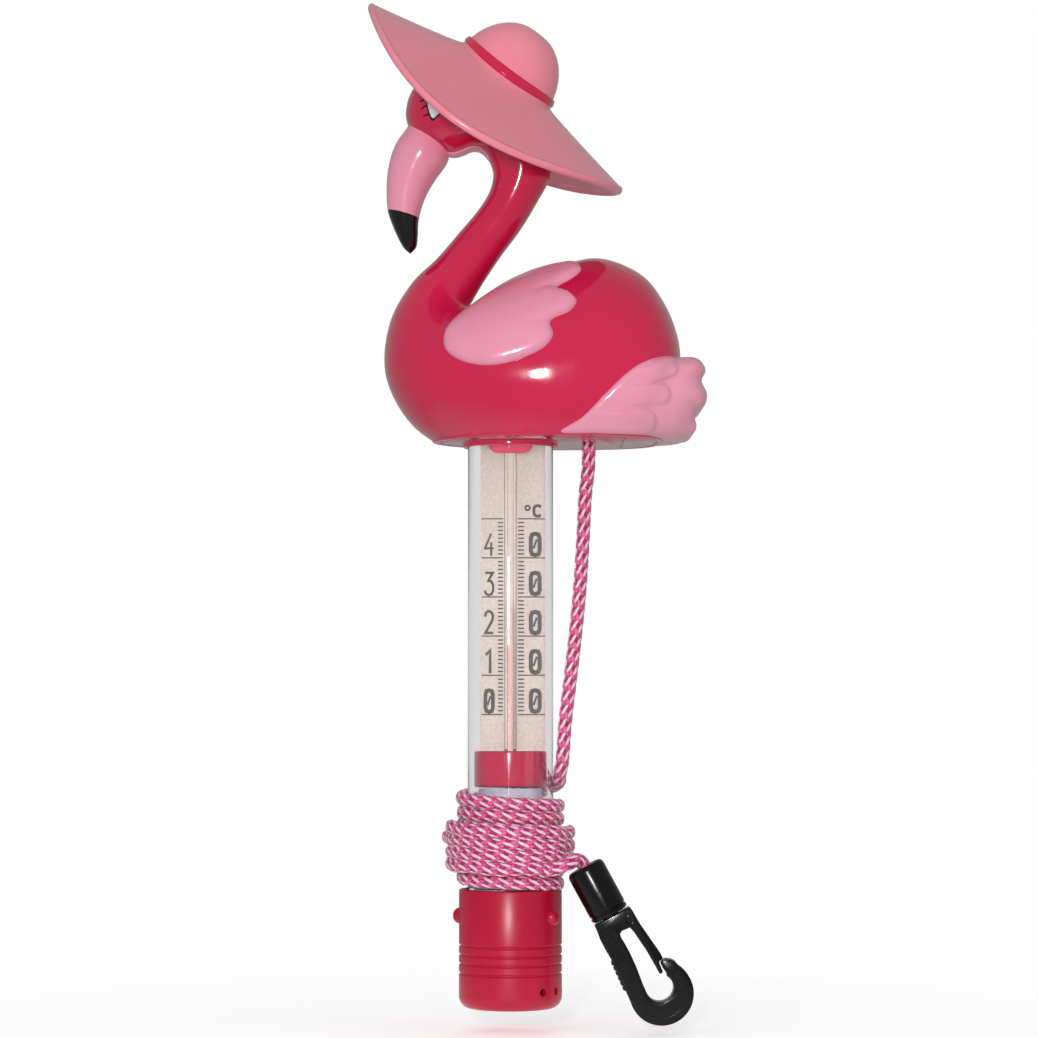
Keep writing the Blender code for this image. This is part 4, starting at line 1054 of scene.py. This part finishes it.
EYE_CENTRE = (-16.4, 80.0)
EYE_SHAPE = [
    (-2.9, 1.5), (-2.9, -0.8), (-2.6, -2.9), (-1.7, -4.7), (-0.5, -3.9), (0.5, -2.9), (1.8, -1.0), (2.4, 1.4),
    (0.9, 3.4), (-1.5, 3.2),
]
LASHES = [
    [(-2.8, -0.5), (-3.8, -0.3), (-4.8, -0.6)],
    [(-2.8, -1.7), (-3.7, -1.9), (-4.5, -2.5)],
    [(-2.4, -3.3), (-3.2, -3.9), (-4.1, -4.0)],
]


def decal(name, tree, side, shape, lift, thick, paint, step=0.35, replaces=()):
    """A thin raised patch on the head with the given (x, z) outline."""
    rim = np.array(shape)
    flat, cells, border = flat_mesh(rim, fill_points(rim, step))
    share = np.clip(rim_distance(flat, rim) / 0.6, 0, 1)
    crown = lift + thick * np.sqrt(np.clip(1 - (1 - share) ** 2, 0, 1))
    low = np.array([tuple(on_head(tree, side, x, z, -0.4)) for x, z in flat])
    high = np.array([tuple(on_head(tree, side, x, z, h)) for (x, z), h in zip(flat, crown)])
    finish_piece(two_layers(name, low, high, cells, border, paint, sharp=75), replaces=replaces)


def arc_oval(centre, reach, count):
    """An upright oval."""
    return [(centre[0] + reach[0] * x, centre[1] + reach[1] * z)
            for x, z in arc((0, 0), 1, 0, 360 * (1 - 1 / count), count)]


def stroke_outline(line, widths):
    """The outline of a tapering stroke."""
    line, widths = np.asarray(line, float), np.asarray(widths, float)
    tangent = np.gradient(line, axis=0)
    tangent /= np.linalg.norm(tangent, axis=1)[:, None]
    normal = np.column_stack([-tangent[:, 1], tangent[:, 0]]) * widths[:, None]
    return np.vstack([line + normal, (line - normal)[::-1]])


def eyes(tree):
    cx, cz = EYE_CENTRE
    shape = smooth_through([(cx + x, cz + z) for x, z in EYE_SHAPE], 90, closed=True)
    rim = shape.mean(axis=0) + (shape - shape.mean(axis=0)) * 1.14
    pupil = arc_oval((cx - 0.9, cz + 1.0), (1.35, 2.0), 48)
    glint = arc_oval((cx - 1.3, cz + 1.8), (0.4, 0.5), 24)
    lashes = [smooth_through([(cx + x, cz + z) for x, z in lash], 16) for lash in LASHES]
    for side, word in ((-1, "left"), (1, "right")):
        decal(f"eye_outline_{word}", tree, side, rim, 0.05, 0.10, INK_BLACK)
        decal(f"eye_{word}", tree, side, shape, 0.16, 0.14, WHITE, replaces=[f"eye_{word}"])
        decal(f"pupil_{word}", tree, side, pupil, 0.28, 0.12, INK_BLACK)
        decal(f"glint_{word}", tree, side, glint, 0.38, 0.06, WHITE, 0.3)
        for number, line in enumerate(lashes, 1):
            outline = stroke_outline(line, np.linspace(0.34, 0.1, 16))
            decal(f"lash_{word}_{number}", tree, side, outline, 0.04, 0.12, INK_BLACK)


# ---------------------------------------------------------------- hat

HAT_CENTRE = (-0.4, 87.9)
HAT_LEAN = math.radians(37.65)
HAT_TIP = math.radians(6.2)
CROWN_PROFILE = [
    (0.0, 11.7), (4.0, 11.2), (7.3, 9.4), (9.8, 6.7), (11.4, 3.7), (12.1, 1.5), (12.4, 0.1), (13.1, -0.9),
]
CROWN_SAG = 0.9  # how much lower the crown's foot is at the sides, halved
BRIM_SHIFT = -9.3
BRIM_REACH = (36.7, 10.55, 0.55)  # about the shifted centre: mean, and swings once and twice round
BRIM_EDGE = (-11.3, -0.9, 5.2, 1.5)  # the edge's height: mean, and swings once, twice and three times round
HAT_WALL = 1.6
HAT_SIDES = 144


def hat_frame():
    back = Vector((math.cos(HAT_LEAN), 0, -math.sin(HAT_LEAN)))
    up = Vector((math.sin(HAT_LEAN), 0, math.cos(HAT_LEAN)))
    side = Vector((0, 1, 0))
    tipped = [side * math.cos(HAT_TIP) + up * math.sin(HAT_TIP), up * math.cos(HAT_TIP) - side * math.sin(HAT_TIP)]
    place = Matrix((back, *tipped)).transposed().to_4x4()
    place.translation = Vector((HAT_CENTRE[0], 0, HAT_CENTRE[1]))
    return place


def swings(amounts, angle):
    """A wave round the hat: the mean and how far it swings once, twice and more times round."""
    return sum(amount * math.cos(k * angle) for k, amount in enumerate(amounts))


CROWN_CURVE = smooth_through([(-3.6, 12.0), *CROWN_PROFILE], 400)
CROWN_CURVE = CROWN_CURVE[np.argmax(CROWN_CURVE[:, 0] >= 0):]
CROWN_CURVE[0, 0] = 0.0


def hat_point(t, angle):
    """A point of the hat's upper face. t runs 0 to 1 down the crown and 1 to 2 out to the brim's edge."""
    sag = CROWN_SAG * (math.cos(2 * angle) - 1)
    if t <= 1:
        place = t * (len(CROWN_CURVE) - 1)
        k = min(int(place), len(CROWN_CURVE) - 2)
        radius, height = CROWN_CURVE[k] + (CROWN_CURVE[k + 1] - CROWN_CURVE[k]) * (place - k)
        height += sag * t**3
        return np.array([radius * math.cos(angle), radius * math.sin(angle), height])
    share = t - 1
    foot_radius, foot = CROWN_PROFILE[-1][0], CROWN_PROFILE[-1][1] + sag
    radius = foot_radius + (swings(BRIM_REACH, angle) - foot_radius) * share
    height = foot + (swings(BRIM_EDGE, angle) - foot) * share**0.87
    return np.array([radius * math.cos(angle) + BRIM_SHIFT * share, radius * math.sin(angle), height])


def hat_surface(stations, lifts):
    """Points and outward normals of the hat along stations, each row lifted by its own amount."""
    angles = np.linspace(0, math.tau, HAT_SIDES, endpoint=False)
    rows = []
    for t, lift in zip(stations, lifts):
        row = []
        for angle in angles:
            small = 0.004
            a = hat_point(min(2, t + small), angle) - hat_point(max(0.002, t - small), angle)
            b = hat_point(max(0.004, t), angle + 0.01) - hat_point(max(0.004, t), angle - 0.01)
            normal = np.cross(a, b)
            normal /= np.linalg.norm(normal)
            row.append(hat_point(t, angle) + normal * lift)
        rows.append(row)
    return np.array(rows)


def place_rows(rows, place):
    flat = rows.reshape(-1, 3)
    matrix = np.array(place)
    return flat @ matrix[:3, :3].T + matrix[:3, 3]


def hat():
    place = hat_frame()
    top = [*np.linspace(0.02, 1, 34), *[1 + s for s in np.linspace(0.03, 0.965, 30)]]
    upper = hat_surface(top, [0.0] * len(top))
    lower_stations = list(reversed(top))
    lower = hat_surface(lower_stations, [-HAT_WALL] * len(top))
    rim = []
    for turn in np.linspace(80, -80, 9):
        t = math.radians(turn)
        rim.append((1.965 + 0.035 * math.cos(t), -HAT_WALL / 2 + (HAT_WALL / 2 + 0.15) * math.sin(t)))
    edge = hat_surface([r[0] for r in rim], [r[1] for r in rim])
    rows = np.concatenate([upper, edge, lower])
    points = place_rows(rows, place)
    top_z = CROWN_PROFILE[0][1]
    poles = [tuple(place @ Vector((0, 0, z))) for z in (top_z, top_z - HAT_WALL)]
    made = skin("hat", points.reshape(rows.shape), poles, HAT, sharp=70)
    finish_piece(made, replaces=["hat"])
    profile = []
    for turn in np.linspace(0, 360, 18, endpoint=False):
        t = math.radians(turn)
        profile.append((0.885 + 0.07 * math.copysign(abs(math.cos(t)) ** 0.6, math.cos(t)),
                        0.12 + 0.55 * math.copysign(abs(math.sin(t)) ** 0.8, math.sin(t))))
    band = hat_surface([p[0] for p in profile], [p[1] for p in profile])
    points = place_rows(band, place)
    count = len(profile)
    faces = [face for i in range(count) for face in row_faces(i, (i + 1) % count, HAT_SIDES)]
    made = mesh_object("hat_band", points, faces, PINK, sharp=80)
    finish_piece(made, replaces=["hat_band"])


# ---------------------------------------------------------------- scale tube

TUBE_RADIUS, BORE = 10.0, 8.8
TUBE_TOP, TUBE_BOTTOM = 12.0, -116.0
STEM_Y = -1.1
CARD_LEFT, CARD_RIGHT, CARD_FRONT, CARD_BACK = -7.1, 8.35, 0.6, 1.2
HOLDER_TOP, HOLDER_BOTTOM = -72.1, -80.4
ZERO_MARK, DEGREE = -63.6, 0.906


def tube_parts():
    wall = [(TUBE_RADIUS, TUBE_TOP), (TUBE_RADIUS, TUBE_BOTTOM), (BORE, TUBE_BOTTOM), (BORE, TUBE_TOP)]
    tube = turned("scale_tube", rounded(wall, [0.3] * 4, 3), TUBE, 128)
    finish_piece(tube, replaces=["scale_tube"])

    bulb_top, bottom, r = -112.0, -128.6, 2.6
    stem = turned("glass_stem", [
        (0, bottom), (r * 0.6, bottom + 0.3), (r * 0.92, bottom + 1.0), (r, bottom + 1.9),
        (r, bulb_top - 0.5), (1.9, bulb_top + 0.6), (1.4, bulb_top + 1.5), (1.4, 0.8), (1.2, 1.0), (0.6, 1.0), (0.6, bulb_top + 0.4), (2.0, bulb_top - 1.0),
        (2.0, bottom + 1.9), (1.4, bottom + 1.35), (0, bottom + 1.3)], GLASS, 48, (0, STEM_Y), sharp=50)
    finish_piece(stem, replaces=["glass_stem"])
    for name in ("spirit_thread", "spirit_reservoir"):
        repaint(name, SPIRIT)

    low = HOLDER_TOP + 0.3
    outline = rounded([(CARD_LEFT, low), (CARD_RIGHT, low), (CARD_RIGHT, 0.0), (CARD_LEFT, 0.0)], [0.4] * 4, 3)
    card = extruded("scale_card", outline, CARD_FRONT, CARD_BACK, CARD)
    finish_piece(card, replaces=["scale_card"])
    scale_print()

    fit, high = BORE - 0.3, TUBE_TOP - 3
    plug = turned("plug", rounded([(0, high), (fit, high), (fit, 0.3), (0, 0.3)], [0, 0.4, 0.4, 0]), PINK, 96)
    outline = [*arc((2.9, -0.9), 2.1, 0, -90, 9), *arc((-2.9, -0.9), 2.1, -90, -180, 9), (-5, 1.0), (5, 1.0)]
    tab = extruded("tab", outline, -3.5, CARD_FRONT - 0.3, PINK)
    bevelled(tab, 0.3)
    combine(plug, tab, "UNION")
    combine(plug, bar(1.7, (0, STEM_Y, -6), (0, STEM_Y, 1.3)))
    plug.name = "scale_plug_visual"
    shade(plug, 40)
    finish_piece(plug, replaces=["scale_plug"])

    # The holder wears the darker pink, which is painted shade.
    holder = turned("bulb_holder", rounded(
        [(1.7, HOLDER_TOP), (fit, HOLDER_TOP), (fit, HOLDER_BOTTOM), (1.7, HOLDER_BOTTOM)],
        [0.2, 0.5, 0.5, 0.2]), HOLDER_SHADED_PINK, 96, sharp=50)
    finish_piece(holder, replaces=["bulb_holder"])
    for paint, names in (
            (GREY_RUBBER, ("spacer_sleeve", "bung", "socket_o_ring")), (STEEL, ("ballast_weight",)),
            (PINK, ("hat_post",)), (KNOT, ("cord_knot_float", "cord_knot_hook"))):
        for name in names:
            repaint(name, paint)


def repaint(name, paint):
    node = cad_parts[name]
    node.data.materials.clear()
    node.data.materials.append(paint)


ZERO = [
    (0.5, 1.0), (0.14, 0.96), (0.0, 0.8), (0.0, 0.2), (0.14, 0.04), (0.5, 0.0), (0.86, 0.04), (1.0, 0.2),
    (1.0, 0.8), (0.86, 0.96), (0.5, 1.0),
]
SLASH = [(0.30, 0.3), (0.68, 0.74)]
GLYPHS = {
    "0": [ZERO, SLASH],
    "1": [[(0.12, 0.80), (0.62, 0.99), (0.62, 0.0)]],
    "2": [[
        (0.05, 0.76), (0.14, 0.92), (0.42, 1.0), (0.78, 0.94), (0.93, 0.78), (0.86, 0.6), (0.1, 0.05), (1.0, 0.05)]],
    "3": [[
        (0.06, 0.97), (0.92, 0.97), (0.42, 0.62), (0.74, 0.6), (0.96, 0.44), (0.96, 0.2), (0.78, 0.04),
        (0.44, 0.0), (0.14, 0.06), (0.02, 0.2)]],
    "4": [[(0.74, 0.98), (0.03, 0.33), (1.02, 0.33)], [(0.74, 0.6), (0.74, 0.0)]],
    "C": [[
        (0.98, 0.86), (0.72, 0.99), (0.32, 0.97), (0.08, 0.82), (0.02, 0.5), (0.08, 0.18), (0.32, 0.03),
        (0.72, 0.01), (0.98, 0.14)]],
    "o": [[(math.cos(t) * 0.5 + 0.5, math.sin(t) * 0.5 + 0.5) for t in np.linspace(0, math.tau, 17)]],
}


def stroke_prism(points, faces, line, width):
    """Adds a flat printed stroke with mitred corners and square ends."""
    line = np.asarray(line, float)
    closed = np.linalg.norm(line[0] - line[-1]) < 1e-6
    if closed:
        line = line[:-1]
    count = len(line)
    directions = np.roll(line, -1, axis=0) - line
    directions /= np.linalg.norm(directions, axis=1)[:, None] + 1e-12
    if not closed:
        directions[-1] = directions[-2]
    earlier = np.roll(directions, 1, axis=0)
    if not closed:
        earlier[0] = directions[0]
    normals = np.column_stack([-(directions + earlier)[:, 1], (directions + earlier)[:, 0]])
    normals /= np.linalg.norm(normals, axis=1)[:, None]
    straight = np.column_stack([-directions[:, 1], directions[:, 0]])
    mitre = width / 2 / np.maximum(0.5, np.sum(normals * straight, axis=1))
    left, right = line + normals * mitre[:, None], line - normals * mitre[:, None]
    base = len(points)
    for y in (CARD_FRONT - 0.05, CARD_FRONT + 0.03):
        points += [(x, y, z) for x, z in left] + [(x, y, z) for x, z in right]
    for i in range(count if closed else count - 1):
        k = (i + 1) % count
        a, b, c, d = base + i, base + k, base + count + k, base + count + i
        lift = 2 * count
        faces += [(a, b, c, d), (d + lift, c + lift, b + lift, a + lift)]
        faces += [(a, a + lift, b + lift, b), (d, c, c + lift, d + lift)]
    if not closed:
        for i in (0, count - 1):
            faces.append((base + i, base + count + i, base + 3 * count + i, base + 2 * count + i))


def scale_print():
    """The scale's lines and generic figures, as thin raised print."""
    points, faces = [], []
    for degree in range(51):
        z = ZERO_MARK + degree * DEGREE
        major = degree % 10 == 0
        left, right = (-6.85, 8.25) if major else (-2.95, 3.2)
        stroke_prism(points, faces, [(left, z), (-1.75, z)], 0.3 if major else 0.34)
        stroke_prism(points, faces, [(1.75, z), (right, z)], 0.3 if major else 0.34)

    def glyph(name, x, z, wide, tall, weights):
        for line, weight in zip(GLYPHS[name], weights):
            line = [(x + px * wide, z + pz * tall) for px, pz in line]
            if name == "2":
                line = [*smooth_through(line[:6], 14), *line[6:]]
            stroke_prism(points, faces, line, weight)

    for tens in range(5):
        z = ZERO_MARK + 10 * tens * DEGREE + 0.45
        if tens:
            glyph(str(tens), -6.1, z, 2.1, 5.3, (0.78 - 0.07 * tens,) * 2)
        else:
            glyph("0", -5.9, z + 0.15, 1.75, 5.0, (0.92, 0.46))
        glyph("0", 4.8, z + 0.2, 2.1, 4.95, (1.0, 0.5))
    glyph("C", 5.45, -17.7, 1.8, 2.5, (0.68,))
    glyph("o", 3.5, -16.3, 1.05, 1.05, (0.45,))
    made = mesh_object("scale_print", points, faces, INK)
    finish_piece(made)


# ---------------------------------------------------------------- cup

CUP_RADIUS, CUP_WALL = 12.0, 1.5
CUP_TOP, CUP_BOTTOM, CUP_FLOOR = -104.3, -131.9, 2.0
CUP_GROOVES = (-117.3, -119.4, -121.5, -123.7)
PIN_ANGLES = (55, 160, 265)
PIN_Z, PIN_RADIUS = -110.6, 1.9
HOLE_ANGLES = (39, 62, 85, 219, 242, 265)
HOLE_Z, HOLE_RADIUS = -127.6, 0.9


def radial(angle):
    return Vector((math.sin(math.radians(angle)), -math.cos(math.radians(angle)), 0))


def cup():
    r, inner = CUP_RADIUS, CUP_RADIUS - CUP_WALL
    outside = [(r - 0.5, CUP_TOP), (r - 0.15, CUP_TOP - 0.12), (r, CUP_TOP - 0.45)]
    for z in CUP_GROOVES:
        groove = [(0, 0.42), (0.08, 0.3), (0.3, 0.1), (0.3, -0.1), (0.08, -0.3), (0, -0.42)]
        outside += [(r - deep, z + up) for deep, up in groove]
    outside += [(r - 2.8 + x, CUP_BOTTOM + 2.8 + z) for x, z in arc((0, 0), 2.8, 0, -90, 10)]
    floor = CUP_BOTTOM + CUP_FLOOR
    inside = [(0, floor), (inner - 2, floor), (inner, floor + 2), (inner, CUP_TOP)]
    made = turned("bulb_cup", [*outside, (0, CUP_BOTTOM), *inside], CUP, 144, sharp=30)
    for angle in HOLE_ANGLES:
        out = radial(angle)
        high = Vector((0, 0, HOLE_Z))
        combine(made, bar(HOLE_RADIUS, out * 5 + high, out * 15 + high, 28))
    shade(made, 32)
    finish_piece(made, replaces=["bulb_cup"])
    for number, angle in enumerate(PIN_ANGLES, 1):
        profile = [
            (0, 13.45), (0.7, 13.4), (1.2, 13.15), (1.6, 12.75), (1.85, 12.2), (PIN_RADIUS + 0.1, 11.6),
            (PIN_RADIUS, 9.0), (0, 9.0)]
        pin = turned(f"cup_pin_{number}", profile, CUP, 36, sharp=60)
        turn = radial(angle).to_track_quat("Z", "Y").to_matrix().to_4x4()
        pin.data.transform(Matrix.Translation(Vector((0, 0, PIN_Z)) * MM) @ turn)
        finish_piece(pin, replaces=[f"cup_pin_{number}"])


# ---------------------------------------------------------------- snap hook

HOOK_THICK, GATE_THICK = 5.6, 3.2
BOWL = (21.15, 1.8)
BOWL_RADIUS, BOWL_BORE = 7.4, 3.2
GATE_PIVOT = (2.9, 3.6)


def hook_parts():
    place = hook_place()
    r, length = BARREL_RADIUS, BARREL_LENGTH
    barrel = turned("hook_barrel", [
        (1.9, length - 0.2), (2.3, length), (r - 1.1, length), (r - 0.6, length - 0.12), (r - 0.2, length - 0.5),
        (r, length - 1.1), (r, 1.6), (r - 0.22, 1.45), (r - 0.22, 1.15), (r, 1.0), (r, 0.6), (r - 0.15, 0.25),
        (r - 0.5, 0.1), (2.3, 0.1), (2.3, 1.8), (3.4, 1.8), (3.4, length - 1.8), (1.9, length - 1.8)],
        BLACK, 80, sharp=40)
    barrel.data.transform(place)
    finish_piece(barrel, replaces=["hook_barrel"])

    bowl_a, bowl_b = BOWL
    shank = [(-4.45, -1.6), (-4.75, -3.6), (-4.8, -6.4), (-4.7, -9.0)]
    for step in range(6):
        at = -9.4 - 1.25 * step
        out = -4.75 - 0.09 * step
        shank += [(out, at), (out - 0.42, at - 0.28), (out - 0.42, at - 0.72), (out - 0.02, at - 1.0)]
    outer = arc((bowl_b, -bowl_a), BOWL_RADIUS, 168, 390, 48)
    nose = [
        (8.0, -16.3), (7.5, -15.6), (6.7, -14.95), (6.0, -14.7), (5.3, -14.75), (4.85, -15.2), (4.8, -16.2),
        (5.0, -17.7)]
    bore = arc((bowl_b + 0.2, -bowl_a + 1.2), BOWL_BORE, 30, -185, 34)
    window = [
        (-0.95, -17.0), (-0.4, -13.0), (-0.2, -10.0), (-0.2, -7.4), (-0.3, -5.6), (-0.1, -4.7), (0.6, -4.3),
        (4.0, -4.6)]
    ears = [(4.8, -4.6), (5.0, -4.0), (5.0, -1.9), (4.9, -1.0), (4.7, -0.3)]
    outline = [(-4.2, -0.2), (-4.4, -0.5), *shank, *outer, *nose, *bore, *window, *ears]
    half = HOOK_THICK / 2
    hook = extruded("hook_body", outline, -half, half, BLACK)
    bevelled(hook, 0.45, 50)
    profile = [(0, 3.6), (2.2, 3.6), (2.8, 3.1), (2.8, 2.1), (2.0, 2.1), (2.0, -1.6), (0, -1.6)]
    post = turned("post", profile, BLACK, 40)
    combine(hook, post, "UNION")
    pivot_a, pivot_b = GATE_PIVOT
    slot = GATE_THICK / 2 + 0.3
    combine(hook, extruded("slot", [(1.6, -6.0), (6.6, -6.0), (6.6, -1.1), (1.6, -1.1)], -slot, slot, None))
    combine(hook, bar(1.2, (pivot_b, -half - 1, -pivot_a), (pivot_b, half + 1, -pivot_a)))
    # The rim round the window stands above a sunk band, on both faces.
    centre = (bowl_b + 0.1, -bowl_a + 0.6)
    outside = [(-4.0, -2.0), (-4.1, -9.0), (-4.3, -15.6), *arc(centre, BOWL_RADIUS - 1.1, 172, 385, 44)]
    inside = [(-0.9, -2.0), (-1.0, -5.6), (-1.2, -9.0), (-1.6, -13.0), (-2.1, -17.0)]
    inside += arc(centre, BOWL_BORE + 1.15, 172, 385, 44)
    for low, high in ((-half - 1, 0.6 - half), (half - 0.6, half + 1)):
        combine(hook, extruded("groove", outside + inside[::-1], low, high, None))
    hook.data.transform(place)
    shade(hook, 35)
    finish_piece(hook, "hook", replaces=["hook_body"])

    root = arc((pivot_b, -pivot_a), 1.4, 180, 0, 17)
    outer = [(5.05, -5.0), (5.5, -9.0), (5.95, -13.0), (5.95, -14.1), (5.75, -14.4), (4.7, -14.6)]
    tip = [(4.45, -16.9), (4.15, -17.3), (3.75, -17.35), (3.5, -16.9)]
    inner = [(3.5, -15.0), (3.4, -11.0), (2.9, -6.0)]
    outline = [*root, *outer, *tip, *inner]
    thin = GATE_THICK / 2
    gate = extruded("hook_gate", outline, -thin, thin, BLACK)
    bevelled(gate, 0.35, 50)
    pin = half - 0.1
    combine(gate, bar(0.9, (pivot_b, -pin, -pivot_a), (pivot_b, pin, -pivot_a)), "UNION")
    gate.data.transform(place)
    shade(gate, 35)
    finish_piece(gate, "gate", replaces=["hook_gate"])
    return barrel, hook, gate


# ---------------------------------------------------------------- making

camera()
stage()
lights()
cord_piece, cord_path, cord_length = cord()
skin_tree, base_outline = float_skin()
float_base(base_outline)
wings(skin_tree)
tail(skin_tree)
beak()
chin()
eyes(skin_tree)
hat()
tube_parts()
cup()
barrel, hook, gate = hook_parts()
